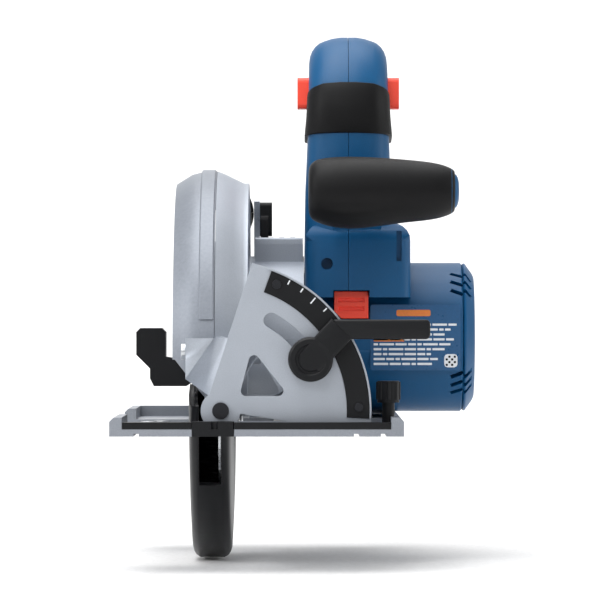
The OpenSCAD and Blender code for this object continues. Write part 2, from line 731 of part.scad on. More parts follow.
trig_y = [10, 42];
trig_z = grip_z - 31;
lock_z_mid = handle_top - 26.2;
lock_y_mid = -6;
batt_x = [handle_x - 37.6, handle_x + 38];
batt_y = [62, 138];
batt_z = [motor_z - 24, motor_z + 32.6];
rail_top = batt_z[1] + 6;

module handle_hollow() {
    difference() {
        handle_form(-shell_t);
        // pillars for the screws that join the two shells
        for (p = shell_screws) xcyl(0, 140, p[0], p[1], 4);
        // solid block around the battery's rails
        block([0, 140], [55, 160], [0, rail_top + 3]);
    }
}
shell_screws = [[-10, 100], [-14, grip_z - 38], [84, grip_z - 20], [116, motor_z + 58], [40, motor_z + 44]];

module handle_body() {
    difference() {
        handle_form();
        handle_hollow();
        // saddle over the motor housing, and over the gear case's rim
        xcyl(-1, cap_x + 20, motor_y, motor_z, motor_r + 0.05);
        // room for the spindle lock
        block([lock_x[0] - 0.4, lock_x[1] + 0.4], [-60, motor_y - 20], [lock_button_z[0] - 5, lock_button_z[1] + 0.4]);
        // trigger's mouth, lock-off button's passage
        block([handle_x - 6.4, handle_x + 6.4], [trig_y[0] - 0.5, trig_y[1] + 4], [trig_z - 6, grip_z - 8]);
        block([0, 140], [lock_y_mid - 8.4, lock_y_mid + 8.4], [lock_z_mid - 8.2, lock_z_mid + 8.2]);
        // channel for the battery's tongue, open to the rear
        block([handle_x - 20.4, handle_x + 20.4], [batt_y[0] + 5.6, 170], [0, rail_top + 0.4]);
        block([0, 140], [batt_y[0] - 0.4, 170], [0, batt_z[1] + 0.4]);
        for (p = shell_screws) xcyl(0, handle_x + 40, p[0], p[1], 1.5);
        for (p = shell_screws) xcyl(handle_x + 9, 140, p[0], p[1], 3.2);
    }
}

module handle_left_shell() {
    color("#0e5c90") intersection() {
        handle_body();
        block([0, handle_x], [-100, 180], [0, 220]);
    }
}
module handle_right_shell() {
    color("#0e5c90") intersection() {
        handle_body();
        block([handle_x, 140], [-100, 180], [0, 220]);
    }
}

// Rubber band around the neck and under the grip
module handle_rubber() {
    band_z = [grip_z - 31.5, grip_z - 9];
    color("#1c1c1e") difference() {
        intersection() {
            handle_form(1.6);
            block([0, 140], [-60, 20], band_z);
        }
        handle_form(0);
        block([0, 140], [2.5, 60], [0, 220]);
        block([0, 140], [lock_y_mid - 8.4, lock_y_mid + 8.4], [lock_z_mid - 8.2, lock_z_mid + 8.2]);
    }
}

module housing_screws() {
    color("#2b2c2f") for (p = shell_screws) {
        xcyl(handle_x + 9, handle_x + 12, p[0], p[1], 3);
        xcyl(handle_x - 8, handle_x + 9 + e, p[0], p[1], 1.5);
    }
}

// ---- front handle -------------------------------------------------------------------------------

module front_handle_stem() {
    color("#0e5c90") {
        xcyl(front_x + 4, front_x + front_grip_len, front_y, front_z, front_grip_r - 6);
        difference() {
            xplate(handle_x - 8, handle_x + 16) {
                bar([-20, front_z - 10], [front_y, front_z - 3], 10);
            }
            handle_form(0.02);
            xcyl(front_x + 3.9, front_x + front_grip_len, front_y, front_z, front_grip_r - 6);
        }
    }
}

module front_handle_grip() {
    r = front_grip_r;
    len = front_grip_len;
    color("#1c1c1e") difference() {
        xlathe(front_y, front_z) difference() {
            union() {
                polygon([[0, front_x + 6], [r, front_x + 6], [r, front_x + 18], [r - 1, front_x + 40],
                         [r - 3.4, front_x + len], [0, front_x + len]]);
                difference() {
                    translate([r - 6, front_x + 6]) circle(6);
                    translate([-20, front_x - 20]) square([20, 60]);
                }
                translate([0, front_x]) square([r - 6, 8]);
            }
        }
        xcyl(front_x + 4, front_x + len + 1, front_y, front_z, r - 6);
        // seat on the stem
        xplate(handle_x - 8.05, handle_x + 16.05) bar([-20, front_z - 10], [front_y, front_z - 3], 10.05);
    }
}

module front_handle_cap() {
    x = front_x + front_grip_len;
    color("#0e5c90") xlathe(front_y, front_z)
        polygon([[0, x], [8.6, x], [8.6, x + 1.6], [6.8, x + 3.6], [0, x + 3.6]]);
}

// ---- switch, electronics, battery ---------------------------------------------------------------

module trigger_switch() {
    color("#2a2b2e") {
        block([handle_x - 7, handle_x + 7], [16, 50], [grip_z - 9, grip_z + 6]);
        block([handle_x - 5, handle_x + 5], [50, 56], [grip_z - 6, grip_z + 1]);
    }
}

module trigger() {
    color("#1c1c1f") difference() {
        union() {
            xplate(handle_x - 6, handle_x + 6) {
                polygon([[trig_y[0], trig_z + 13], [trig_y[0], trig_z - 1], [trig_y[0] + 6, trig_z - 5],
                         [trig_y[1] - 8, trig_z + 3], [trig_y[1] - 1, trig_z + 7], [trig_y[1] - 1, trig_z + 14],
                         [trig_y[0] + 5, trig_z + 14]]);
            }
        }
        xcyl(0, 140, trig_y[1] - 5, trig_z + 10, 1.6);
    }
}

module lock_off_button() {
    x = [handle_x - 25.6, handle_x + 25.2];
    color("#e8402e") {
        block(x, [lock_y_mid - 4, lock_y_mid + 4], [lock_z_mid - 4, lock_z_mid + 4]);
        for (s = [[x[0], x[0] + 9], [x[1] - 9, x[1]]])
            xplate(s[0], s[1]) rounded(lock_y_mid - 8, lock_y_mid + 8, lock_z_mid - 7.8, lock_z_mid + 7.8, 2.5);
    }
}

module spindle_lock_button() {
    z = lock_button_z;
    color("#e8402e") {
        difference() {
            block(lock_x, [lock_button_y, motor_y - stator_r - 1.6], z);
            for (f = [0.36, 0.68]) block([lock_x[0] + 2, lock_x[1] - 2], [lock_button_y - e, lock_button_y + 1.4],
                                         [z[0] + f * (z[1] - z[0]) - 1, z[0] + f * (z[1] - z[0]) + 1]);
            translate([lock_x[0], 0, z[0]]) rotate([90, 45, 0]) cube([5, 5, 200], center = true);
        }
    }
}

module control_board() {
    z = motor_z + 47;
    color("#1f6b3a") block([handle_x - 14, handle_x + 14], [46, 78], [z, z + 1.6]);
    color("#3a3b3e") for (i = [0:2]) block([handle_x - 10 + 7 * i, handle_x - 5 + 7 * i], [50, 60], [z + 1.6, z + 4.4]);
}

module battery_terminal() {
    y = batt_y[0] + 5.6;
    color("#c79a3a") for (dx = [-12, -4, 4, 12])
        block([handle_x + dx - 0.4, handle_x + dx + 0.4], [y, y + 9], [batt_z[1] + 2, rail_top - 0.5]);
    color("#2a2b2e") block([handle_x - 18, handle_x + 18], [y, y + 2], [batt_z[1] + 1, rail_top + 0.2]);
}

module battery_case() {
    wall = 2.6;
    color("#1b1c1f") difference() {
        union() {
            intersection() {
                xplate(batt_x[0], batt_x[1]) rounded(batt_y[0], batt_y[1], batt_z[0], batt_z[1], 6);
                yplate(batt_y[0] - 1, batt_y[1] + 1) rounded(batt_x[0], batt_x[1], batt_z[0], batt_z[1], 6);
            }
            block([handle_x - 20, handle_x + 20], [batt_y[0] + 8.2, batt_y[1] - 6], [batt_z[1] - 8, rail_top]);
        }
        block([batt_x[0] + wall, batt_x[1] - wall], [batt_y[0] + wall, batt_y[0] + 6.2 + 6 * cell_r], [batt_z[0] + wall, batt_z[1] - 9]);
        // slots for the terminals
        for (dx = [-12, -4, 4, 12])
            block([handle_x + dx - 0.9, handle_x + dx + 0.9], [batt_y[0] + 8, batt_y[0] + 17], [batt_z[1] + 1, rail_top + e]);
        // pocket for the latch
        block([handle_x - 13.4, handle_x + 13.4], [batt_y[1] - 6.4, batt_y[1] + 1], [batt_z[1] - 22, batt_z[1] - 3]);
    }
}

cell_r = 10.5;
module battery_cells() {
    color("#3f6f52") for (i = [0:2]) xcyl(handle_x - 35, handle_x + 35, batt_y[0] + 3 + cell_r + i * (2 * cell_r + 0.1), batt_z[0] + 3 + cell_r, cell_r);
    color("#3f6f52") for (i = [0:1]) xcyl(handle_x - 35, handle_x + 35, batt_y[0] + 3 + 2 * cell_r + i * (2 * cell_r + 0.1),
                                          batt_z[0] + 3.2 + cell_r * 2.75, cell_r);
}

module battery_latch() {
    color("#e8402e") difference() {
        block([handle_x - 13, handle_x + 13], [batt_y[1] - 6, batt_y[1] + 2], [batt_z[1] - 17, batt_z[1] - 4]);
        for (i = [0:2]) block([handle_x - 10, handle_x + 10], [batt_y[1] + 1, batt_y[1] + 3],
                              [batt_z[1] - 14 + 3 * i, batt_z[1] - 12.6 + 3 * i]);
    }
}

// ---- depth lock, lower guard --------------------------------------------------------------------

module depth_lock_lever() {
    x = [arc_x[1] + gap, arc_x[1] + gap + 4];
    top = lock_z + 80;
    color("#1c1c1f") difference() {
        xplate(x[0], x[1]) bar([lock_y, lock_z], [lock_y + 6, top - 10], 6);
        xcyl(x[0] - 1, x[1] + 1, lock_y, lock_z, 2.52);
    }
    color("#1c1c1f") xplate(arc_x[0] + gap, x[1] + 1.9) rounded(lock_y + 1, lock_y + 12, top - 17.5, top, 2);
    color("#b4b8bf") {
        xcyl(wall_x - 0.5, x[1] + 1.5, lock_y, lock_z, 2.5);
        xcyl(x[1], x[1] + 1.5, lock_y, lock_z, 4.5);
    }
}

lever_screws = [for (dy = [5, 15]) [lever_y[0] + dy, lever_z[0] + 7]];

module lower_guard() {
    x = guard_x;
    w = guard_wall;
    outer = guard_r - 0.4;
    inner = outer - w;
    color("#1a1a1c") difference() {
        union() {
            // side walls joined by the rim
            xlathe(0, arbor_z, rim_start, guard_end - rim_start) polygon([
                [36, x[0]], [outer - 1.6, x[0]], [outer, x[0] + 1.6], [outer, x[1] - 1.6], [outer - 1.6, x[1]],
                [36, x[1]], [36, x[1] - w], [inner, x[1] - w], [inner, x[0] + w], [36, x[0] + w]]);
            // open front, where only lips turn inwards from the walls; a hair thinner, and run on into them
            xlathe(0, arbor_z, guard_start, rim_start - guard_start + 2) for (side = [[x[0], 1], [x[1], -1]]) {
                x0 = side[0] + side[1] * hair;
                d = side[1];
                polygon([[36.1, x0], [outer - 1.7, x0], [outer - hair, x0 + d * 1.7], [outer - hair, x0 + d * 5.4],
                         [inner - 1, x0 + d * 5.4], [inner - 1, x0 + d * (w - 0.1)], [36.1, x0 + d * (w - 0.1)]]);
            }
            // hub
            xlathe(0, arbor_z) polygon([[hub_r + fit, x[1] - w + 0.2], [38, x[1] - w + 0.2], [38, x[1] - 0.2], [29, x[1] - 0.2],
                                        [29, x[1] + 0.9], [hub_r + fit, x[1] + 0.9]]);
            // arm that carries the lever, a little proud of the wall
            xplate(x[0] - arm_proud, x[0] + w - 0.2) translate([0, arbor_z]) ring_sector(32, 60, -22, 34);
        }
        for (p = lever_screws) xcyl(x[0] - 1, x[0] + w + e, p[0], p[1], 1.5);
    }
}

module guard_lever() {
    x = [lever_x, guard_x[0] - arm_proud];
    step = lever_z[0] + 13;
    color("#1d1d20") difference() {
        yplate(lever_y[0], lever_y[1]) polygon([
            [x[1], lever_z[0] + 2], [x[1] - 3, lever_z[0]], [x[0] + 9, lever_z[0]], [x[0] + 7, lever_z[0] + 4],
            [x[0] + 7, lever_z[0] + 9], [x[0], step + 3], [x[0], lever_z[1] - 2], [x[0] + 2, lever_z[1]],
            [x[0] + 13, lever_z[1]], [x[0] + 15, lever_z[1] - 2], [x[0] + 15, step + 2], [x[1] - 2, step], [x[1], step - 2]]);
        for (p = lever_screws) xcyl(x[1] - 8, x[1] + 1, p[0], p[1], 1.5);
    }
    color("#c3c6cb") for (p = lever_screws) {
        xcyl(x[1] - 8, guard_x[0] + guard_wall, p[0], p[1], 1.5);
        xcyl(guard_x[0] + guard_wall, guard_x[0] + guard_wall + 1.4, p[0], p[1], 2.8);
    }
}

// ---- spindle and blade --------------------------------------------------------------------------

module saw_blade() {
    r = blade_d / 2;
    pitch = 360 / teeth;
    color("#c6c9cd") xplate(blade_x - blade_t / 2, blade_x + blade_t / 2) translate([0, arbor_z]) difference() {
        circle(r);
        circle(arbor_r);
        // gullets behind each tooth, expansion slots
        for (i = [0:teeth - 1]) rotate(i * pitch) polygon([
            [r + 1, 0], [r - 8.5, -r * sin(pitch * 0.06)], [r - 9, r * sin(pitch * 0.16)], [r - 3.4, r * sin(pitch * 0.42)],
            [r - 2.2, r * sin(pitch * 0.8)], [r + 1, r * sin(pitch * 0.86)]]);
        for (i = [0:3]) rotate(i * 90 + 20) {
            translate([r - 26, -0.5]) square([19, 1]);
            translate([r - 26, 0]) circle(2);
        }
    }
}

module arbor_spindle() {
    color("#babdc2") difference() {
        union() {
            xcyl(blade_x - 3.2, wall_x - 5, 0, arbor_z, arbor_r - fit);
            xcyl(wall_x - 5, gear_x[1] + 1, 0, arbor_z, 7.5);
            xcyl(gear_x[1] + 1, case_x + 24, 0, arbor_z, 5);
        }
        xcyl(blade_x - 4, wall_x + 4, 0, arbor_z, 3);
    }
}

module inner_flange() {
    color("#9a9da3") difference() {
        xcyl(blade_x + blade_t / 2, wall_x - 5, 0, arbor_z, 19);
        xcyl(blade_x, wall_x - 4, 0, arbor_z, arbor_r);
    }
}

module outer_flange() {
    x = blade_x - blade_t / 2;
    color("#9a9da3") difference() {
        union() {
            xcyl(x - 2, x, 0, arbor_z, 19);
            xcyl(x - 3.4, x - 2 + e, 0, arbor_z, 14);
        }
        xcyl(blade_x - 3.2, x + 1, 0, arbor_z, arbor_r);
        xcyl(x - 5, x + 1, 0, arbor_z, 3.2);
    }
}

module blade_bolt() {
    x = blade_x - blade_t / 2 - 3.4;
    color("#55585d") difference() {
        union() {
            xcyl(x - 1.4, x, 0, arbor_z, 9);
            xcyl(x - 6.4, x - 1.4 + e, 0, arbor_z, 6.5);
            xcyl(x - e, wall_x + 2, 0, arbor_z, 3);
        }
        translate([x - 6.5, 0, arbor_z]) rotate([0, 90, 0]) cylinder(h = 4, r = 2.9, $fn = 6);
    }
}

module drive_gear() {
    color("#8b8e93") xplate(gear_x[0], gear_x[1]) translate([0, arbor_z]) difference() {
        rotate(mesh_a) gear_outline(gear_teeth, gear_m);
        circle(7.5);
    }
}

// ---- fence clamp --------------------------------------------------------------------------------

module fence_clamp_knob() {
    color("#1c1c1f") {
        zcyl(lip_h + 6.6, lip_h + 17, knob_x, knob_y, 5.3);
        for (i = [0:7]) translate([knob_x, knob_y, lip_h + 8]) rotate(i * 45) translate([4.9, 0, 0]) cylinder(h = 8.5, r = 1);
    }
    color("#b9bcc1") zcyl(sole_t + 2, lip_h + 6.6 + e, knob_x, knob_y, 3);
}

// ---- one line per node ----------------------------------------------------------------------------

base_plate();
guide_strip();
cut_line_insert();
bevel_quadrant();
bevel_scale_band();
quadrant_screws();
bevel_pivot_pins();
rear_bevel_bracket();
deck_screws();
front_bracket();
depth_pivot_pin();
depth_arc();
bevel_bolt();
bevel_lever();
upper_guard_cover();
upper_guard_housing();
gear_case();
gear_case_screws();
dust_port();
spindle_bearings();
guard_retaining_ring();
guard_return_spring();
motor_housing();
motor_end_cap();
label_plate();
stator();
rotor_core();
rotor_shaft();
motor_bearings();
cooling_fan();
control_board();
handle_left_shell();
handle_right_shell();
handle_rubber();
housing_screws();
front_handle_stem();
front_handle_grip();
front_handle_cap();
trigger_switch();
trigger();
lock_off_button();
spindle_lock_button();
battery_terminal();
battery_case();
battery_cells();
battery_latch();
depth_lock_lever();
lower_guard();
guard_lever();
saw_blade();
arbor_spindle();
inner_flange();
outer_flange();
blade_bolt();
drive_gear();
fence_clamp_knob();
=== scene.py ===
"""Cordless circular saw with a guide-rail base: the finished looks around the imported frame."""
import json
import math

import bmesh
import bpy
from bpy.props import FloatProperty, FloatVectorProperty, PointerProperty
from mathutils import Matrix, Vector

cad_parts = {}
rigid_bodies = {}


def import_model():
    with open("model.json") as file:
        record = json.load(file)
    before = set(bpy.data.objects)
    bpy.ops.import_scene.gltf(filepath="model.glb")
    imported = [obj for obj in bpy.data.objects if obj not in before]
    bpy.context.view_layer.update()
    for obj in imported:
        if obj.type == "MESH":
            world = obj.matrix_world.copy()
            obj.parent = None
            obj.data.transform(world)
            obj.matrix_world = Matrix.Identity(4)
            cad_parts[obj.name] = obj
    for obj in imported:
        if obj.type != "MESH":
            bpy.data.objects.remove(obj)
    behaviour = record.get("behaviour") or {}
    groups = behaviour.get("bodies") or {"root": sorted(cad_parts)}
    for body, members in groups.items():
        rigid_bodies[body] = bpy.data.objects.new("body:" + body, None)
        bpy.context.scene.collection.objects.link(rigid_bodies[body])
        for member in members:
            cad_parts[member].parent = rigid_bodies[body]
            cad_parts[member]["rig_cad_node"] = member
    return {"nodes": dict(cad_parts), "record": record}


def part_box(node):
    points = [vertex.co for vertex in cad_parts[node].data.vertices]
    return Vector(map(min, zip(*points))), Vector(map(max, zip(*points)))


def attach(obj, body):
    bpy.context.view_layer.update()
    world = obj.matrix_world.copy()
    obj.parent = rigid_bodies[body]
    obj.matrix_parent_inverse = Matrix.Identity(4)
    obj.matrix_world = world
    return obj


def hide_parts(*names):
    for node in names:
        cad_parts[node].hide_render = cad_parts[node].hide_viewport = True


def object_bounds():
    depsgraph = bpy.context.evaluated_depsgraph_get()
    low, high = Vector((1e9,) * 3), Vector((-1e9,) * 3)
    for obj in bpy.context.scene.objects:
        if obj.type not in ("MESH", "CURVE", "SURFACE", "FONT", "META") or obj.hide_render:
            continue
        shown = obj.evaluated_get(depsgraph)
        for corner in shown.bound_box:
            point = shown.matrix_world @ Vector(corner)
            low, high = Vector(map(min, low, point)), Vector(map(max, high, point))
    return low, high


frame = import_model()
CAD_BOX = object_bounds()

bl_info = {
    "name": "Circular Saw Finish",
    "version": (1, 0, 0),
    "blender": (4, 5, 0),
    "location": "View3D > Sidebar > Saw",
    "description": "Models and finishes the visible pieces of a cordless circular saw",
    "category": "Object",
}

MM = 0.001
FAR = 0.2  # farther out than any side of the saw, in metres
SAME_POINT = 0.002 * MM  # points closer than this are joined
NODES = frame["nodes"]
SLOT_OF = {part["node"]: part["material_slot"] for part in frame["record"]["subparts"]}
BODY_OF = {node: body for body, nodes in frame["record"]["behaviour"]["bodies"].items() for node in nodes}


# ---- measuring the frame -------------------------------------------------------------------------

def box(node):
    """Lowest and highest corner of a CAD node, as vectors."""
    low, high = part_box(node)
    return Vector(low), Vector(high)


def middle(node):
    """Middle of a CAD node's box."""
    low, high = box(node)
    return (low + high) / 2


SPINDLE = middle("arbor_spindle")
MOTOR = middle("rotor_core")
MOTOR_R = (box("motor_housing")[1].z - box("motor_housing")[0].z) / 2
BEVEL = middle("bevel_pivot_pins")
HANDLE_X = middle("lock_off_button").x


# ---- colours and nodes ---------------------------------------------------------------------------

def linear(code):
    """An sRGB hex colour as linear red, green, blue and alpha."""
    channels = [int(code[i:i + 2], 16) / 255 for i in (1, 3, 5)]
    return tuple(c / 12.92 if c <= 0.04045 else ((c + 0.055) / 1.055) ** 2.4 for c in channels) + (1.0,)


def shades(colour, spread=0.08):
    """A little darker and a little lighter than a colour."""
    return [tuple(c * (1 + side * spread) for c in colour[:3]) + (1.0,) for side in (-1, 1)]


def add_node(material, kind, inputs=None, **settings):
    """Adds a node with its settings, and sets or links each named or numbered input."""
    node = material.node_tree.nodes.new("ShaderNode" + kind)
    for key, value in settings.items():
        setattr(node, key, value)
    for key, value in (inputs or {}).items():
        if isinstance(value, bpy.types.NodeSocket):
            material.node_tree.links.new(value, node.inputs[key])
        else:
            node.inputs[key].default_value = value
    return node


def new_material(name, **shader_inputs):
    """A material with a Principled shader and an output, and the object's own coordinates."""
    material = bpy.data.materials.new(name)
    material.use_nodes = True
    material.node_tree.nodes.clear()
    shader = add_node(material, "BsdfPrincipled", shader_inputs)
    add_node(material, "OutputMaterial", {"Surface": shader.outputs["BSDF"]})
    place = add_node(material, "TexCoord").outputs["Object"]
    return material, shader, place


def patterned(material, shader, place, colours, grain, depth, rough, patch=0.03, stretch=(1, 1, 1)):
    """Colour that drifts between two shades over patches, and grain of a real size in the bump and roughness."""
    links = material.node_tree.links
    spread = add_node(material, "Mapping", {"Vector": place, "Scale": stretch}).outputs[0]
    cloud = add_node(material, "TexNoise", {"Vector": place, "Scale": 1 / patch, "Detail": 4.0, "Roughness": 0.6})
    fine = add_node(material, "TexNoise", {"Vector": spread, "Scale": 1 / grain, "Detail": 3.0, "Roughness": 0.55})
    blend = add_node(material, "Mix", {0: cloud.outputs["Fac"], 6: colours[0], 7: colours[1]}, data_type="RGBA")
    speck = add_node(material, "MapRange", {0: fine.outputs["Fac"], 1: 0.3, 2: 0.7, 3: 0.93, 4: 1.07})
    tint = add_node(material, "VectorMath", {0: blend.outputs[2], 1: speck.outputs[0]}, operation="MULTIPLY")
    links.new(tint.outputs[0], shader.inputs["Base Color"])
    mottled = add_node(material, "Math", {0: cloud.outputs["Fac"], 1: fine.outputs["Fac"]}, operation="ADD")
    shine = add_node(material, "MapRange", {0: mottled.outputs[0], 1: 0.6, 2: 1.4, 3: rough[0], 4: rough[1]})
    links.new(shine.outputs[0], shader.inputs["Roughness"])
    bump = add_node(material, "Bump", {"Height": fine.outputs["Fac"], "Distance": depth, "Strength": 0.6})
    links.new(bump.outputs["Normal"], shader.inputs["Normal"])


# ---- materials, each named for the real one and how its surface was made ------------------------

def die_cast_aluminium(look):
    # Shot-blasted die casting: a matt silver grey with a fine grain, about 0.5 mm
    material, shader, place = new_material("DieCastAluminium_shot_blasted", Metallic=0.55)
    patterned(material, shader, place, (linear("#A2A8B1"), linear("#B0B6BF")), 0.5 * MM, 0.03 * MM, (0.42, 0.56), 22 * MM)
    return material


def powder_coated_casting(look):
    # Grey powder coat over a casting: smoother and lighter, with a faint orange peel of 1.5 mm
    material, shader, place = new_material("PowderCoatedCasting_light_grey", Metallic=0.25)
    patterned(material, shader, place, (linear("#7C818A"), linear("#898F98")), 1.5 * MM, 0.03 * MM, (0.36, 0.48), 40 * MM)
    return material


def rolled_aluminium(look):
    # Rolled and anodised sheet: grain lines along the plate, drawn 0.6 mm apart so that they show
    material, shader, place = new_material("AnodisedAluminium_rolled", Metallic=0.75)
    patterned(material, shader, place, (linear("#8C9098"), linear("#9CA1A9")), 0.6 * MM, 0.02 * MM, (0.34, 0.5), 30 * MM,
              (1, 0.04, 1))
    return material


def zinc_plated_steel(look):
    # Blue-white zinc over turned steel: bright, with soft patches
    material, shader, place = new_material("ZincPlatedSteel_turned", Metallic=0.95)
    patterned(material, shader, place, (linear("#BFC2C6"), linear("#CDD0D3")), 0.4 * MM, 0.01 * MM, (0.24, 0.38), 8 * MM)
    return material


def ground_blade_steel(look):
    # Saw-plate steel, surface-ground across: long fine scratches
    material, shader, place = new_material("SawPlateSteel_ground", Metallic=1.0)
    patterned(material, shader, place, (linear("#B8BBBF"), linear("#C6C9CC")), 0.5 * MM, 0.01 * MM, (0.22, 0.36), 30 * MM,
              (1, 1, 0.05))
    return material


def blackened_steel(look):
    # Black oxide on hardened steel: nearly black with an oily sheen
    material, shader, place = new_material("BlackOxideSteel", Metallic=0.8)
    patterned(material, shader, place, (linear("#26272A"), linear("#323337")), 0.4 * MM, 0.01 * MM, (0.32, 0.46), 10 * MM)
    return material


def blue_nylon(look):
    # Glass-filled nylon from a spark-eroded mould: satin, with a leather-fine grain of 0.45 mm
    material, shader, place = new_material("GlassFilledNylon_moulded_blue", **{"IOR": 1.5, "Specular IOR Level": 0.35})
    patterned(material, shader, place, shades(look.housing_colour), 0.45 * MM, 0.035 * MM, (0.36, 0.48), 35 * MM)
    return material


def label_film(look):
    # Screen-printed polycarbonate film: smoother and darker than the housing
    material, shader, place = new_material("PolycarbonateFilm_printed", IOR=1.58)
    patterned(material, shader, place, (linear("#0A4C7A"), linear("#0B5080")), 1.2 * MM, 0.01 * MM, (0.26, 0.34), 30 * MM)
    return material


def black_nylon(look):
    # Black glass-filled nylon: dark grey in the light, grain of 0.5 mm
    material, shader, place = new_material("GlassFilledNylon_moulded_black", **{"IOR": 1.5, "Specular IOR Level": 0.22})
    patterned(material, shader, place, (linear("#101113"), linear("#17181B")), 0.5 * MM, 0.04 * MM, (0.34, 0.46), 30 * MM)
    return material


def soft_rubber(look):
    # Over-moulded elastomer: velvety, hardly any gloss, grain of 0.7 mm
    material, shader, place = new_material("ThermoplasticElastomer_overmoulded",
                                           **{"IOR": 1.45, "Specular IOR Level": 0.22})
    shader.inputs["Sheen Weight"].default_value = 0.03
    shader.inputs["Sheen Roughness"].default_value = 0.5
    patterned(material, shader, place, shades(look.rubber_colour), 0.7 * MM, 0.05 * MM, (0.42, 0.58), 25 * MM)
    return material


def red_acetal(look):
    # Moulded acetal: slippery, bright and evenly coloured
    material, shader, place = new_material("Acetal_moulded_red", IOR=1.48)
    patterned(material, shader, place, shades(look.button_colour), 0.5 * MM, 0.02 * MM, (0.3, 0.4), 12 * MM)
    return material


def solder_mask(look):
    # Green solder mask over copper tracks
    material, shader, place = new_material("SolderMask_green", IOR=1.5)
    patterned(material, shader, place, (linear("#1F6B3A"), linear("#2A7D48")), 1.0 * MM, 0.02 * MM, (0.2, 0.34), 4 * MM)
    return material


def tinned_copper(look):
    # Copper alloy contacts with a thin tin wash
    material, shader, place = new_material("CopperAlloy_stamped", Metallic=1.0)
    patterned(material, shader, place, (linear("#C79A3A"), linear("#D8B25C")), 0.4 * MM, 0.01 * MM, (0.2, 0.34), 3 * MM)
    return material


def shrink_film(look):
    # Heat-shrunk cell wrap: glossy green with soft ripples
    material, shader, place = new_material("ShrinkFilm_green", IOR=1.5)
    patterned(material, shader, place, (linear("#3A6A4D"), linear("#467A5A")), 2.0 * MM, 0.05 * MM, (0.18, 0.3), 12 * MM)
    return material


def stamped_laminations(look):
    # Stacked electrical steel: thin sheets seen edge-on across the stack
    material, shader, place = new_material("ElectricalSteel_laminated", Metallic=0.85)
    patterned(material, shader, place, (linear("#6E7075"), linear("#85878C")), 0.5 * MM, 0.05 * MM, (0.34, 0.5), 12 * MM,
              (1, 0.02, 0.02))
    return material


def printed_white(look):
    # White screen-printing ink: matt, a little uneven
    material, shader, place = new_material("ScreenInk_white", IOR=1.5)
    patterned(material, shader, place, (linear("#D9DDE2"), linear("#E8EBEF")), 0.5 * MM, 0.01 * MM, (0.4, 0.5), 6 * MM)
    return material


def printed_orange(look):
    # Orange screen-printing ink
    material, shader, place = new_material("ScreenInk_orange", IOR=1.5)
    patterned(material, shader, place, (linear("#D9762E"), linear("#E2843C")), 0.5 * MM, 0.01 * MM, (0.4, 0.5), 6 * MM)
    return material


def pale_floor(look):
    # Matt studio floor
    material, shader, place = new_material("StudioFloor_pale", IOR=1.4)
    patterned(material, shader, place, (linear("#F1F1F1"), linear("#F5F5F5")), 2.0 * MM, 0.01 * MM, (0.7, 0.8), 0.4)
    return material


FINISH_OF_SLOT = {
    "cast_aluminium": die_cast_aluminium,
    "light_cast_aluminium": powder_coated_casting,
    "base_aluminium": rolled_aluminium,
    "zinc_steel": zinc_plated_steel,
    "blade_steel": ground_blade_steel,
    "dark_steel": blackened_steel,
    "blue_nylon": blue_nylon,
    "label_film": label_film,
    "black_plastic": black_nylon,
    "black_rubber": soft_rubber,
    "red_plastic": red_acetal,
    "circuit_board": solder_mask,
    "copper_alloy": tinned_copper,
    "cell_wrap": shrink_film,
    "laminated_steel": stamped_laminations,
}
FINISHES = {}


def finish(piece, slot_or_maker):
    """Gives a piece the one material made for its slot, or an ink of its own."""
    maker = FINISH_OF_SLOT.get(slot_or_maker, slot_or_maker)
    if maker not in FINISHES:
        FINISHES[maker] = maker(bpy.context.scene.saw_look)
    piece.data.materials.clear()
    piece.data.materials.append(FINISHES[maker])


def show(piece, *nodes, slot=None, maker=None, instead=True):
    """Finishes a piece, and lets it ride with its CAD nodes or be shown instead of them."""
    slot = slot or SLOT_OF[nodes[0]]
    finish(piece, maker or slot)
    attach(piece, BODY_OF[nodes[0]])
    if instead:
        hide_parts(*nodes)


# ---- the sizes and colours that a user would change ----------------------------------------------

class SawLook(bpy.types.PropertyGroup):
    """Colours and edge sizes of the saw's finished pieces"""
    housing_colour: FloatVectorProperty(name="Housing", description="Colour of the motor housing and handles",
                                        subtype="COLOR", size=3, default=linear("#034D7A")[:3], min=0, max=1)
    button_colour: FloatVectorProperty(name="Buttons", description="Colour of the buttons and latches",
                                       subtype="COLOR", size=3, default=linear("#FF4F3A")[:3], min=0, max=1)
    rubber_colour: FloatVectorProperty(name="Rubber", description="Colour of the soft grips",
                                       subtype="COLOR", size=3, default=linear("#08080A")[:3], min=0, max=1)
    cast_edge: FloatProperty(name="Cast edge", description="Radius of the edges on castings and moulded parts",
                             unit="LENGTH", default=0.7 * MM, min=0.0, max=2 * MM)
    machined_edge: FloatProperty(name="Machined edge", description="Radius of the edges on steel parts",
                                 unit="LENGTH", default=0.25 * MM, min=0.0, max=1 * MM)


# ---- easing the CAD nodes ------------------------------------------------------------------------

def ease(node, width):
    """Small round edges on a CAD node by live modifiers; its own mesh stays as it is."""
    piece = NODES[node]
    weld = piece.modifiers.new("Weld", "WELD")
    weld.merge_threshold = 0.001 * MM
    flat = piece.modifiers.new("Flat faces", "DECIMATE")
    flat.decimate_type = "DISSOLVE"
    flat.angle_limit = math.radians(0.4)
    edge = piece.modifiers.new("Edges", "BEVEL")
    edge.width = width
    edge.segments = 2
    edge.limit_method = "ANGLE"
    edge.angle_limit = math.radians(32)
    edge.use_clamp_overlap = True
    edge.harden_normals = False
    normals = piece.modifiers.new("Normals", "WEIGHTED_NORMAL")
    normals.keep_sharp = True
    piece.data.polygons.foreach_set("use_smooth", [True] * len(piece.data.polygons))


# Slots of the cast and moulded pieces, which have the wider edges
CAST = ("base_aluminium", "cast_aluminium", "light_cast_aluminium", "blue_nylon", "black_plastic", "black_rubber",
        "red_plastic")


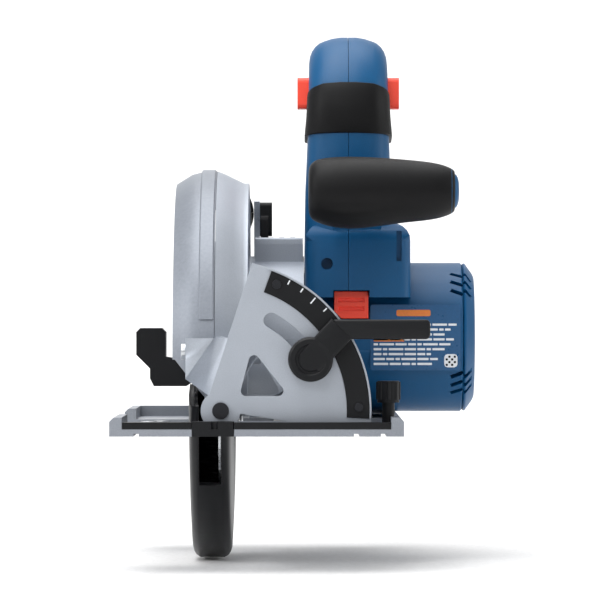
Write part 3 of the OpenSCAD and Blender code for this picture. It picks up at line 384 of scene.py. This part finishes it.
class SAW_OT_frame_finish(bpy.types.Operator):
    """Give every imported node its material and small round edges"""
    bl_idname = "saw.frame_finish"
    bl_label = "Frame finish"

    def execute(self, context):
        look = context.scene.saw_look
        for node in sorted(NODES):
            slot = SLOT_OF[node]
            finish(NODES[node], slot)
            ease(node, look.cast_edge if slot in CAST else look.machined_edge)
        return {"FINISHED"}


# ---- modelling by operators ----------------------------------------------------------------------

def start(kind, name, **settings):
    """Adds one primitive with nothing else selected, and opens it for editing."""
    bpy.ops.object.select_all(action="DESELECT")
    getattr(bpy.ops.mesh, f"primitive_{kind}_add")(**settings)
    piece = bpy.context.object
    piece.name = name
    bpy.ops.object.transform_apply(location=True, rotation=True, scale=True)
    bpy.ops.object.mode_set(mode="EDIT")
    bpy.ops.mesh.select_all(action="SELECT")
    return piece


def start_block(name, low, high):
    """A block between two corners."""
    low, high = Vector(low), Vector(high)
    return start("cube", name, size=1, location=(low + high) / 2, scale=high - low)


def pick(kind, test):
    """Selects only the faces, edges or points whose middle passes the test."""
    bpy.ops.mesh.select_mode(type={"faces": "FACE", "edges": "EDGE", "verts": "VERT"}[kind])
    bpy.ops.mesh.select_all(action="DESELECT")
    data = bpy.context.object.data
    mesh = bmesh.from_edit_mesh(data)
    for item in getattr(mesh, kind):
        points = [item.co] if kind == "verts" else [point.co for point in item.verts]
        if test(sum(points, Vector()) / len(points), item):
            item.select_set(True)
    mesh.select_flush_mode()
    bmesh.update_edit_mesh(data)


def move(x=0, y=0, z=0):
    """Moves what is selected."""
    bpy.ops.transform.translate(value=(x, y, z))


def pull(x=0, y=0, z=0):
    """Extrudes what is selected and moves it."""
    bpy.ops.mesh.extrude_region_move(TRANSFORM_OT_translate={"value": (x, y, z)})


def soften(width, segments=3, kind="EDGES"):
    """Bevels what is selected."""
    bpy.ops.mesh.bevel(offset=width, segments=segments, affect=kind, clamp_overlap=True)


def close(piece, angle=32):
    """Leaves edit mode with the place in the mesh, normals outward, and corners over an angle kept sharp."""
    bpy.ops.mesh.select_all(action="SELECT")
    bpy.ops.mesh.normals_make_consistent(inside=False)
    bpy.ops.object.mode_set(mode="OBJECT")
    bpy.ops.object.transform_apply(location=True, rotation=True, scale=True)
    bpy.ops.object.shade_smooth_by_angle(angle=math.radians(angle))
    return piece


def apply(piece, kind, **settings):
    """Adds a modifier to a piece and applies it."""
    bpy.context.view_layer.objects.active = piece
    modifier = piece.modifiers.new(kind.title(), kind)
    for key, value in settings.items():
        setattr(modifier, key, value)
    bpy.ops.object.modifier_apply(modifier=modifier.name)


def combine(piece, others, operation="DIFFERENCE"):
    """Cuts the other pieces from a piece, or joins them to it, and removes them."""
    for other in others:
        apply(piece, "BOOLEAN", object=other, operation=operation, solver="EXACT")
        bpy.data.objects.remove(other)


def reopen(piece):
    """Opens one piece for editing with everything selected."""
    bpy.ops.object.select_all(action="DESELECT")
    piece.select_set(True)
    bpy.context.view_layer.objects.active = piece
    bpy.ops.object.mode_set(mode="EDIT")
    bpy.ops.mesh.select_all(action="SELECT")


def close_again(piece, angle=30):
    """Joins the points that cuts leave close together, and closes the piece."""
    reopen(piece)
    bpy.ops.mesh.remove_doubles(threshold=SAME_POINT)
    return close(piece, angle)


def copy(piece, name):
    """A copy with its own mesh, and no longer a CAD node where the piece was one."""
    twin = piece.copy()
    twin.data = piece.data.copy()
    twin.name = name
    twin.pop("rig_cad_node", None)
    bpy.context.collection.objects.link(twin)
    return twin


def copy_node(node, name):
    """A closed copy of a CAD node to work on; the node's own mesh stays as it is."""
    twin = copy(NODES[node], name)
    twin.modifiers.clear()
    return close_again(twin, 32)


def cutter(low, high):
    """A block that cuts, between two corners."""
    return close(start_block("cutter", low, high))


def drill(radius, start_at, length, axis="X", corners=48):
    """A round cutter from a point along an axis."""
    turn = {"X": (0, math.pi / 2, 0), "Y": (math.pi / 2, 0, 0), "Z": (0, 0, 0)}[axis]
    along = Vector([length / 2 if letter == axis else 0 for letter in "XYZ"])
    return close(start("cylinder", "cutter", radius=radius, depth=length, vertices=corners,
                       location=Vector(start_at) + along, rotation=turn))


def lathe(name, start_at, profile, corners=64, axis="X"):
    """A closed round piece along an axis from (distance, radius) steps, in millimetres."""
    turn = {"X": (0, math.pi / 2, 0), "Y": (-math.pi / 2, 0, 0), "Z": (0, 0, 0)}[axis]
    along = Vector([letter == axis for letter in "XYZ"])
    (at, radius), *rest = profile
    here = Vector(start_at) + along * at * MM
    piece = start("circle", name, radius=radius * MM, vertices=corners, fill_type="NGON", location=here, rotation=turn)
    for next_at, next_radius in rest:
        here = here + along * (next_at - at) * MM
        pull(*(along * (next_at - at) * MM))
        grow = next_radius / radius
        bpy.ops.transform.resize(value=(grow, grow, grow), center_override=here)
        at, radius = next_at, next_radius
    return piece


# ---- main handle ---------------------------------------------------------------------------------

CROWN = 5.5 * MM  # how far the handle's outer side swells
CROWN_STEPS = 8
CLEAR = 0.5 * MM  # around the trigger, the buttons and the battery
# A walk up the neck, over the top, down the grip and into the battery foot:
# ("go", mm) or ("turn", radius in mm, degrees), each with the width across and the depth in mm at its end
HANDLE_START = (-8.5, 82, -5)  # y and z in mm, and the heading in degrees
HANDLE_WIDTH, HANDLE_DEPTH = 44, 38
HANDLE_WALK = (
    ("go", 36, 43, 38), ("go", 37, 39.8, 36.5), ("turn", 20.5, 102, 39, 35), ("go", 24, 37, 35), ("go", 26, 37, 35),
    ("turn", 60, 40, 37, 34), ("turn", 42, 36, 37.5, 32), ("go", 40, 40, 30),
)


def handle_section(name, at, heading, width, depth):
    """The first ring: a rounded outline, crowned on its outer side, square to the walk."""
    y, z = at
    centre = (HANDLE_X, y * MM, z * MM)
    piece = start("plane", name, size=1 * MM, location=centre)
    bpy.ops.transform.resize(value=(width, depth, 1), center_override=centre)
    soften(8.5 * MM, 5, "VERTICES")
    front = (y - depth / 2) * MM
    pick("edges", lambda at, edge: abs(at.y - front) < 0.2 * MM)
    bpy.ops.mesh.subdivide(number_cuts=5)
    # the outer side swells in a shallow arch towards the middle line
    for step in range(CROWN_STEPS):
        reach = width / 2 * math.sqrt(1 - step / CROWN_STEPS) * MM
        pick("verts", lambda at, point: at.y < (y - depth * 0.1) * MM and abs(at.x - HANDLE_X) < reach)
        move(y=-CROWN / CROWN_STEPS)
    bpy.ops.mesh.select_all(action="SELECT")
    move(y=CROWN / 2)
    bpy.ops.transform.rotate(value=math.radians(heading), orient_axis="X", center_override=centre)
    return piece


def walk_on(walk, at, heading, width, depth, step=7):
    """Pulls the last ring along a walk, turning and resizing it as it goes."""
    y, z = at
    for leg in walk:
        kind, size, *rest = leg
        turn = rest[0] if kind == "turn" else 0
        new_width, new_depth = rest[-2:]
        count = max(2, round(abs(turn) / step)) if turn else 2
        for _ in range(count):
            half = math.radians(turn / count / 2)
            length = 2 * size * math.sin(half) if turn else size / count
            middle_heading = math.radians(heading) + half
            dy, dz = length * math.sin(middle_heading), length * math.cos(middle_heading)
            y, z = y + dy, z + dz
            heading += turn / count
            centre = (HANDLE_X, y * MM, z * MM)
            pull(0, dy * MM, dz * MM)
            if turn:
                bpy.ops.transform.rotate(value=2 * half, orient_axis="X", center_override=centre)
            grow = (new_width / width) ** (1 / count), (new_depth / depth) ** (1 / count)
            bpy.ops.transform.resize(value=(grow[0], grow[1], grow[1]), center_override=centre)
        width, depth = new_width, new_depth
    return (y, z), heading


class SAW_OT_main_handle(bpy.types.Operator):
    """Model the two halves of the main handle and its foot over the motor"""
    bl_idname = "saw.main_handle"
    bl_label = "Main handle"

    def execute(self, context):
        y, z, heading = HANDLE_START
        loop = handle_section("handle_loop", (y, z), heading, HANDLE_WIDTH, HANDLE_DEPTH)
        walk_on(HANDLE_WALK, (y, z), heading, HANDLE_WIDTH, HANDLE_DEPTH)
        close(loop)
        # the foot: a wide body over the motor, with eased corners
        low, high = box("handle_left_shell")[0], box("handle_right_shell")[1]
        foot_top = MOTOR.z + 57 * MM
        foot = start_block("handle_foot", (low.x, -33 * MM, MOTOR.z + 20 * MM), (high.x, 124 * MM, foot_top))
        pick("edges", lambda at, edge: at.z > foot_top - 1 * MM)
        soften(9 * MM, 5)
        pick("edges", lambda at, edge: abs(edge.verts[0].co.z - edge.verts[1].co.z) > 20 * MM)
        soften(6 * MM, 4)
        close(foot)
        combine(loop, [foot], "UNION")
        rail_low, rail_high = box("battery_case")
        button_low, button_high = box("spindle_lock_button")
        lock_low, lock_high = box("lock_off_button")
        trigger_low, trigger_high = box("trigger")
        combine(loop, [
            # room for the motor, the spindle lock, the trigger's swing, the lock-off and the battery's rails and case
            drill(MOTOR_R + 0.05 * MM, (-FAR, MOTOR.y, MOTOR.z), 2 * FAR, corners=128),
            cutter((button_low.x - CLEAR, -FAR, button_low.z - 5 * MM),
                   (button_high.x + CLEAR, MOTOR.y - 20 * MM, button_high.z + CLEAR)),
            cutter((trigger_low.x - CLEAR, trigger_low.y - 2.5 * MM, trigger_low.z - 6 * MM),
                   (trigger_high.x + CLEAR, trigger_high.y + 4 * MM, trigger_high.z + 5 * MM)),
            cutter((-FAR, lock_low.y - CLEAR, lock_low.z - CLEAR), (FAR, lock_high.y + CLEAR, lock_high.z + CLEAR)),
            cutter((HANDLE_X - 20.5 * MM, rail_low.y + 5.6 * MM, 0), (HANDLE_X + 20.5 * MM, FAR, rail_high.z + CLEAR)),
            cutter((-FAR, rail_low.y - CLEAR, 0), (FAR, FAR, rail_high.z - 6 * MM + CLEAR)),
            # screw hole and upright groove in the foot's front
            drill(2.9 * MM, (low.x + 10.8 * MM, -34 * MM, MOTOR.z + 36.7 * MM), 7 * MM, "Y"),
            cutter((high.x - 7 * MM, -34 * MM, MOTOR.z + 38 * MM), (high.x - 4.5 * MM, -30.4 * MM, foot_top - 4 * MM)),
        ])
        for node, sign in (("handle_left_shell", -1), ("handle_right_shell", 1)):
            half = copy(loop, "main_" + node)
            reopen(half)
            bpy.ops.mesh.bisect(plane_co=(HANDLE_X + sign * 0.12 * MM, 0, 0), plane_no=(sign, 0, 0),
                                use_fill=True, clear_inner=True)
            close(half, 28)
            show(half, node)
        bpy.data.objects.remove(loop)
        return {"FINISHED"}


# ---- soft grips ----------------------------------------------------------------------------------

# Distance from the grip's blade-side end and radius there
GRIP = ((0, 9), (0.6, 12.2), (2.4, 14.4), (5.5, 15.7), (11, 16.5), (20, 16.9), (32, 16.5), (44, 15.7), (56, 14.6),
        (62, 13.7), (66, 12.7), (69.6, 11.3), (71.4, 9.9), (71.6, 9))


class SAW_OT_soft_grips(bpy.types.Operator):
    """Model the front grip and the rubber band of the main handle"""
    bl_idname = "saw.soft_grips"
    bl_label = "Soft grips"

    def execute(self, context):
        start_x = box("front_handle_grip")[0].x
        y, z = middle("front_handle_cap").y, middle("front_handle_cap").z
        grip = lathe("front_grip", (start_x, y, z), GRIP)
        # the underside swells where it sits on the stem
        for reach, drop in ((15, 0.5), (12, 0.6), (9, 0.7)):
            pick("verts", lambda at, point: at.z < z - 9 * MM and abs(at.x - start_x - 23 * MM) < reach * MM)
            move(z=-drop * MM)
        close(grip, 60)
        apply(grip, "SUBSURF", levels=2, render_levels=2)
        show(grip, "front_handle_grip")

        cap = lathe("front_grip_cap", (box("front_handle_cap")[0].x, y, z),
                    ((-1, 8.6), (1, 8.6), (2.2, 8), (3, 6.6), (3.5, 4.4), (3.6, 2)))
        close(cap, 50)
        show(cap, "front_handle_cap")

        # the band walks up the neck just outside the handle, and stops at a flat face behind it
        centre = (y, z) = (-13.9, 145.5)
        band = handle_section("neck_band", centre, -5, 43.8, 39.2)
        bpy.ops.transform.rotate(value=math.radians(11), orient_axis="X", center_override=(HANDLE_X, y * MM, z * MM))
        walk_on((("go", 10, 42, 39), ("turn", 20.5, 22, 41, 37.4)), centre, -5, 43.8, 39.2)
        pick("faces", lambda at, face: len(face.verts) > 4)
        soften(0.9 * MM, 3)
        bpy.ops.mesh.select_all(action="SELECT")
        bpy.ops.mesh.bisect(plane_co=(0, 3 * MM, 0), plane_no=(0, 1, 0), use_fill=True, clear_outer=True)
        close(band, 40)
        lock_low, lock_high = box("lock_off_button")
        combine(band, [cutter((-FAR, lock_low.y - CLEAR, lock_low.z - CLEAR),
                              (FAR, lock_high.y + CLEAR, lock_high.z + CLEAR))])
        show(band, "handle_rubber")
        return {"FINISHED"}


# ---- motor housing, cap and label ----------------------------------------------------------------

FLAT = 37 * MM  # from the motor's axis to the flat on the housing's front
VENT_THICK = 2.2 * MM
VENT_SLANT = math.radians(24)
VENT_ANGLES = (56, 46, 37, -30, -38, -46)
AIR_SLOTS = 16
AIR_RADIUS = 21.5 * MM


def vents(start_x, width):
    """Slanted slot cutters around the motor, at angles above its front."""
    slots = []
    for angle in VENT_ANGLES:
        turn = math.radians(angle)
        place = (start_x, MOTOR.y - MOTOR_R * math.cos(turn), MOTOR.z + MOTOR_R * math.sin(turn))
        slots.append(start("cube", "cutter", size=1, location=place, scale=(width, 9 * MM, VENT_THICK)))
        bpy.ops.transform.rotate(value=-math.copysign(VENT_SLANT, angle), orient_axis="Y", center_override=place)
        bpy.ops.transform.rotate(value=turn, orient_axis="X", center_override=place)
        close(slots[-1])
    return slots


class SAW_OT_motor(bpy.types.Operator):
    """Model the motor housing with its flat, the end cap with its air slots, and the rating label"""
    bl_idname = "saw.motor"
    bl_label = "Motor housing"

    def execute(self, context):
        low, high = box("motor_housing")
        radius, seam = MOTOR_R / MM, (high.x - low.x) / MM
        housing = lathe("motor_body", (low.x, MOTOR.y, MOTOR.z),
                        ((0, radius - 0.4), (0.6, radius), (seam - 0.8, radius), (seam - 0.1, radius - 0.7)), 128)
        close(housing)
        front = MOTOR.y - FLAT
        button_low, button_high = box("spindle_lock_button")
        gap = 0.4 * MM
        slots = vents(high.x - 3.2 * MM, 6.5 * MM)
        combine(housing, [
            cutter((low.x + 22 * MM, front - 1, MOTOR.z - 40 * MM), (high.x + 1 * MM, front, MOTOR.z + 40 * MM)),
            close(lathe("cutter", (low.x + 2 * MM, MOTOR.y, MOTOR.z), ((0, radius - 6.4), (seam, radius - 6.4)), 96)),
            cutter((button_low.x - gap, -FAR, button_low.z - gap),
                   (button_high.x + gap, MOTOR.y - 20 * MM, button_high.z + gap)),
            *slots,
        ])
        reopen(housing)
        pick("edges", lambda at, edge: abs(at.y - front) < 0.01 * MM and len(edge.link_faces) == 2
             and edge.calc_face_angle(0) > math.radians(8))
        soften(0.8 * MM, 3)
        close(housing, 30)
        show(housing, "motor_housing")

        cap_low, cap_high = box("motor_end_cap")
        length = (cap_high.x - high.x) / MM
        cap = lathe("motor_cap", (high.x, MOTOR.y, MOTOR.z),
                    ((0.2, radius - 0.9), (0.9, radius - 0.2), (1.6, radius - 0.4), (length - 0.8, radius - 5.4),
                     (length, radius - 7.2), (length, radius - 11), (length - 1.4, radius - 12.2),
                     (length - 1.4, radius - 26), (length - 0.4, radius - 27), (length - 0.4, 5), (length - 1, 4.4)), 128)
        close(cap)
        air = []
        for number in range(AIR_SLOTS):
            turn = math.tau * number / AIR_SLOTS
            place = (cap_high.x, MOTOR.y + AIR_RADIUS * math.cos(turn), MOTOR.z + AIR_RADIUS * math.sin(turn))
            air.append(start("cube", "cutter", size=1, location=place, rotation=(turn, 0, 0),
                             scale=(8 * MM, 9 * MM, 2.4 * MM)))
            close(air[-1])
        combine(cap, air + vents(cap_low.x + 7.4 * MM, 7 * MM))
        close_again(cap)
        show(cap, "motor_end_cap")

        # rating label: a film on the flat, with rows of printed dashes, a warning bar and a square code
        left, right = high.x - 46.4 * MM, high.x - 1.4 * MM
        film = start_block("rating_label", (left, front - 0.15 * MM, MOTOR.z - 16.4 * MM),
                           (right, front + 0.2 * MM, MOTOR.z + 16.4 * MM))
        pick("edges", lambda at, edge: abs(edge.verts[0].co.y - edge.verts[1].co.y) > 0.1 * MM)
        soften(1.2 * MM, 4)
        close(film)
        show(film, "label_plate")
        self.print_label(left, right, front - 0.15 * MM)
        return {"FINISHED"}

    def print_label(self, left, right, face):
        """Rows of dashes stand for the rating text, with two orange bars and a square of dots."""
        # each row: height, start and end from the label's left, how tall, ink
        rows = [(MOTOR.z + 12.2 * MM, 13 * MM, 30 * MM, 3.2 * MM, printed_orange)]
        rows += [(MOTOR.z + (6.4 - 2.45 * row) * MM, 1.6 * MM, (43 - 3 * (row % 3)) * MM, 1.1 * MM, printed_white)
                 for row in range(9)]
        rows += [(MOTOR.z - 1.0 * MM, 1.6 * MM, 17 * MM, 2.0 * MM, printed_orange)]
        code = (right - 8.2 * MM, MOTOR.z - 11.6 * MM)
        for z, first, last, tall, ink in rows:
            x, word = left + first, 0
            while x < left + last - 1 * MM:
                long = (2.2 + 1.7 * ((word * 7 + int(z / MM * 3)) % 4)) * MM if ink is printed_white else last - first
                end = min(x + long, left + last)
                clear = z < code[1] + 5.4 * MM and end > code[0] - 1 * MM
                if not clear:
                    self.ink(x, end, z - tall / 2, z + tall / 2, face, ink)
                x, word = end + 0.7 * MM, word + 1
        self.ink(code[0], code[0] + 6.6 * MM, code[1] - 3.3 * MM, code[1] + 3.3 * MM, face, printed_white)
        for number in (0, 2, 5, 7, 8, 10, 13, 15):
            column, row = number % 4, number // 4
            x, z = code[0] + (0.7 + 1.35 * column) * MM, code[1] + (-2.6 + 1.35 * row) * MM
            self.ink(x, x + 1.1 * MM, z, z + 1.1 * MM, face - 0.03 * MM, black_nylon)

    def ink(self, x0, x1, z0, z1, face, maker):
        """One printed bar with rounded ends, hardly proud of the film."""
        bar = start_block("print", (x0, face - 0.06 * MM, z0), (x1, face + 0.05 * MM, z1))
        pick("edges", lambda at, edge: abs(edge.verts[0].co.y - edge.verts[1].co.y) > 0.05 * MM)
        soften((z1 - z0) * 0.24, 2)
        close(bar)
        show(bar, "label_plate", maker=maker, instead=False)


# ---- clamp lever, bracket, scale and guard -------------------------------------------------------

TICKS = (44, 50, 56, 62)  # degrees above the base, about the bevel pivot
LONG_TICK = 50
TICK_RADIUS = 70.4  # outer ends of the ticks, in mm


class SAW_OT_clamp(bpy.types.Operator):
    """Model the bevel clamp lever, the scale's printed ticks and the front bracket's opening"""
    bl_idname = "saw.clamp"
    bl_label = "Bevel clamp"

    def execute(self, context):
        low, high = box("bevel_lever")
        bolt = middle("bevel_bolt")
        depth = high.y - low.y
        # hub with a raised ring around its middle
        lever = lathe("clamp_lever", (bolt.x, low.y, bolt.z),
                      ((0.1, 3.6), (0.1, 5.4), (0.8, 5.9), (0.8, 6.8), (0.1, 7.6), (0, 9.6), (0.8, 10.6),
                       (depth / MM, 10.8)), 64, "Y")
        close(lever)
        elbow_x, arm_z = bolt.x + 14 * MM, high.z - 4.7 * MM
        web = start("cube", "web", size=1, rotation=(0, math.radians(-47), 0),
                    location=(bolt.x + 7 * MM, (low.y + high.y) / 2 - 0.45 * MM, bolt.z + 6.4 * MM),
                    scale=(23 * MM, depth - 1.1 * MM, 13.5 * MM))
        pick("edges", lambda at, edge: at.y < low.y + 0.3 * MM)
        soften(1.2 * MM, 3)
        close(web)
        arm = start_block("arm", (elbow_x - 3 * MM, low.y + 0.6 * MM, arm_z - 4.7 * MM),
                          (high.x, high.y - 1 * MM, arm_z + 4.7 * MM))
        pick("edges", lambda at, edge: at.x > high.x - 0.3 * MM
             and abs(edge.verts[0].co.y - edge.verts[1].co.y) > 1 * MM)
        soften(2.2 * MM, 4)
        pick("edges", lambda at, edge: at.y < low.y + 0.7 * MM)
        soften(1.1 * MM, 3)
        close(arm)
        combine(lever, [web, arm], "UNION")
        combine(lever, [drill(6.9 * MM, (bolt.x, low.y + 1.6 * MM, bolt.z), depth, "Y")])
        close_again(lever)
        show(lever, "bevel_lever")

        # four printed ticks above the lever, one of them long
        face = box("bevel_scale_band")[0].y
        for angle in TICKS:
            turn = math.radians(angle)
            long = 3.6 if angle == LONG_TICK else 2.2
            middle_r = (TICK_RADIUS - long / 2) * MM
            place = (BEVEL.x + middle_r * math.cos(turn), face - 0.02 * MM, BEVEL.z + middle_r * math.sin(turn))
            tick = start("cube", "scale_tick", size=1, location=place, rotation=(0, -turn, 0),
                         scale=(long * MM, 0.12 * MM, 0.6 * MM))
            pick("edges", lambda at, edge: at.y < face - 0.05 * MM)
            soften(0.05 * MM, 1)
            close(tick)
            show(tick, "bevel_scale_band", maker=printed_white, instead=False)

        # the bracket behind the quadrant is open where the quadrant's window is
        bracket = copy_node("front_bracket", "bevel_bracket")
        low, high = box("front_bracket")
        hole = start("circle", "cutter", radius=13 * MM, vertices=3, fill_type="NGON", rotation=(math.pi / 2, 0, 0),
                     location=(BEVEL.x + 18 * MM, low.y - 1 * MM, BEVEL.z + 14 * MM))
        soften(4 * MM, 4, "VERTICES")
        pull(y=high.y - low.y)
        close(hole)
        combine(bracket, [hole])
        close_again(bracket)
        show(bracket, "front_bracket")
        return {"FINISHED"}


class SAW_OT_lower_guard(bpy.types.Operator):
    """Round and taper the lower guard by cutting a copy of it to a form turned about the spindle"""
    bl_idname = "saw.lower_guard"
    bl_label = "Lower guard"

    def execute(self, context):
        low, high = box("lower_guard")
        wide = (high.x - low.x) / MM
        rim = (SPINDLE.z - low.z) / MM
        guard = copy_node("lower_guard", "guard_trough")
        # the walls lean in towards the rim, which is rounded into them
        lean = ((0.35, 62), (0.9, 78), (1.5, rim - 5), (2.1, rim - 2.9), (3.1, rim - 1.3), (4.4, rim - 0.4),
                (6, rim + 0.4))
        other_side = [(wide - 0.5 - at, radius) for at, radius in reversed(lean)]
        form = lathe("form", (low.x, SPINDLE.y, SPINDLE.z), ((-0.5, 62), *lean, *other_side, (wide + 0.5, 58)), 240)
        close(form)
        combine(guard, [form], "INTERSECT")
        close_again(guard)
        # the flat of each wall ends sharply where it starts to lean
        reopen(guard)
        pick("edges", lambda at, edge: abs(math.hypot(at.y - SPINDLE.y, at.z - SPINDLE.z) / MM - 63) < 1.2)
        bpy.ops.mesh.mark_sharp()
        bpy.ops.object.mode_set(mode="OBJECT")
        show(guard, "lower_guard")
        return {"FINISHED"}


class SAW_OT_castings(bpy.types.Operator):
    """Model the raised band around the upper guard and the rail across the gear case's ribs"""
    bl_idname = "saw.castings"
    bl_label = "Casting details"

    def execute(self, context):
        seam = box("upper_guard_cover")[1].x
        shell = (box("upper_guard_housing")[1].z - SPINDLE.z) / MM
        place = (seam - 7.9 * MM, SPINDLE.y, SPINDLE.z)
        band = lathe("guard_band", place, ((0, shell - 1.2), (0.4, shell + 0.4), (0.9, shell + 0.8),
                                           (6.9, shell + 0.8), (7.4, shell + 0.4), (7.8, shell - 1.2)), 192)
        close(band)
        core = lathe("core", (place[0] - 1 * MM, SPINDLE.y, SPINDLE.z), ((0, shell - 1.6), (10, shell - 1.6)), 192)
        close(core)
        # it runs from above the depth pivot to short of the dust port
        combine(band, [core, cutter((-FAR, -FAR, -FAR), (FAR, FAR, SPINDLE.z + 26 * MM)),
                       cutter((-FAR, 55 * MM, -FAR), (FAR, FAR, FAR))])
        close_again(band, 40)
        show(band, "upper_guard_cover", instead=False)

        low, high = box("gear_case")
        rail = start_block("case_rail", (low.x + 3 * MM, MOTOR.y - 14.8 * MM, high.z - 5.6 * MM),
                           (high.x - 0.6 * MM, MOTOR.y - 12 * MM, high.z - 0.1 * MM))
        pick("edges", lambda at, edge: at.y < MOTOR.y - 14 * MM and at.z > high.z - 0.5 * MM)
        soften(1.2 * MM, 3)
        close(rail)
        show(rail, "gear_case", instead=False)
        return {"FINISHED"}


# ---- stage ---------------------------------------------------------------------------------------

CAMERA_AT = (22.5 * MM, -2500 * MM, 63.9 * MM)
LENS = 294.5  # mm, on a 36 mm sensor
FLOOR_SIZE = 16
SAW_AT = (0.02, 0, 0.06)
SOFTBOXES = {
    # name: (place in m, what it faces, size in m, watts)
    "top": ((-0.35, -0.45, 1.5), SAW_AT, 1.1, 17),
    "left": ((-1.6, -0.9, 0.9), SAW_AT, 0.9, 13),
    "right": ((1.6, -0.2, 0.6), SAW_AT, 0.8, 6),
    "front": ((-0.4, -2.3, 1.3), SAW_AT, 0.9, 8),
    "backdrop": ((0, 4.2, 3.6), (0, 6.6, 0.2), 3.0, 170),
    "floor": ((0, 0.9, 2.6), (0, 1.4, 0), 2.0, 40),
}


class SAW_OT_stage(bpy.types.Operator):
    """Set the floor, the soft lights and the camera"""
    bl_idname = "saw.stage"
    bl_label = "Stage"

    def execute(self, context):
        level = CAD_BOX[0][2] - 1 * MM
        floor = start("plane", "studio_floor", size=FLOOR_SIZE, location=(0, 0, level))
        # the far edge runs up into a curved backdrop
        far_edge = FLOOR_SIZE / 2 - 0.1
        pick("edges", lambda at, edge: at.y > far_edge)
        pull(z=FLOOR_SIZE / 2)
        pick("edges", lambda at, edge: at.y > far_edge and abs(at.z - level) < 0.01)
        soften(3.0, 24)
        bpy.ops.object.mode_set(mode="OBJECT")
        bpy.ops.object.shade_smooth_by_angle(angle=math.radians(30))
        floor.data.materials.append(pale_floor(context.scene.saw_look))
        for name, (place, target, size, watts) in SOFTBOXES.items():
            bpy.ops.object.light_add(type="AREA", location=place)
            light = context.object
            light.name = "softbox_" + name
            light.data.shape = "SQUARE"
            light.data.size = size
            light.data.energy = watts
            light.rotation_euler = (Vector(target) - Vector(place)).to_track_quat("-Z", "Y").to_euler()
        world = bpy.data.worlds.new("Studio")
        world.use_nodes = True
        world.node_tree.nodes["Background"].inputs["Color"].default_value = (1, 1, 1, 1)
        world.node_tree.nodes["Background"].inputs["Strength"].default_value = 0.42
        context.scene.world = world
        context.scene.view_settings.view_transform = "Standard"
        bpy.ops.object.camera_add(location=CAMERA_AT, rotation=(math.radians(90), 0, 0))
        camera = context.object
        camera.data.lens = LENS
        camera.data.sensor_width = 36
        camera.data.clip_end = 60
        context.scene.camera = camera
        return {"FINISHED"}


class SAW_PT_panel(bpy.types.Panel):
    """The saw's sizes, colours and operators"""
    bl_idname = "SAW_PT_panel"
    bl_label = "Circular saw"
    bl_space_type = "VIEW_3D"
    bl_region_type = "UI"
    bl_category = "Saw"

    def draw(self, context):
        for name in SawLook.__annotations__:
            self.layout.prop(context.scene.saw_look, name)
        for operator in OPERATORS:
            self.layout.operator(operator.bl_idname)


OPERATORS = (SAW_OT_frame_finish, SAW_OT_main_handle, SAW_OT_soft_grips, SAW_OT_motor, SAW_OT_clamp,
             SAW_OT_lower_guard, SAW_OT_castings, SAW_OT_stage)
CLASSES = (SawLook, *OPERATORS, SAW_PT_panel)


def register():
    for cls in CLASSES:
        bpy.utils.register_class(cls)
    bpy.types.Scene.saw_look = PointerProperty(type=SawLook)


def unregister():
    del bpy.types.Scene.saw_look
    for cls in reversed(CLASSES):
        bpy.utils.unregister_class(cls)


def main():
    register()
    for operator in OPERATORS:
        module, name = operator.bl_idname.split(".")
        getattr(getattr(bpy.ops, module), name)()


if __name__ == "__main__":
    main()
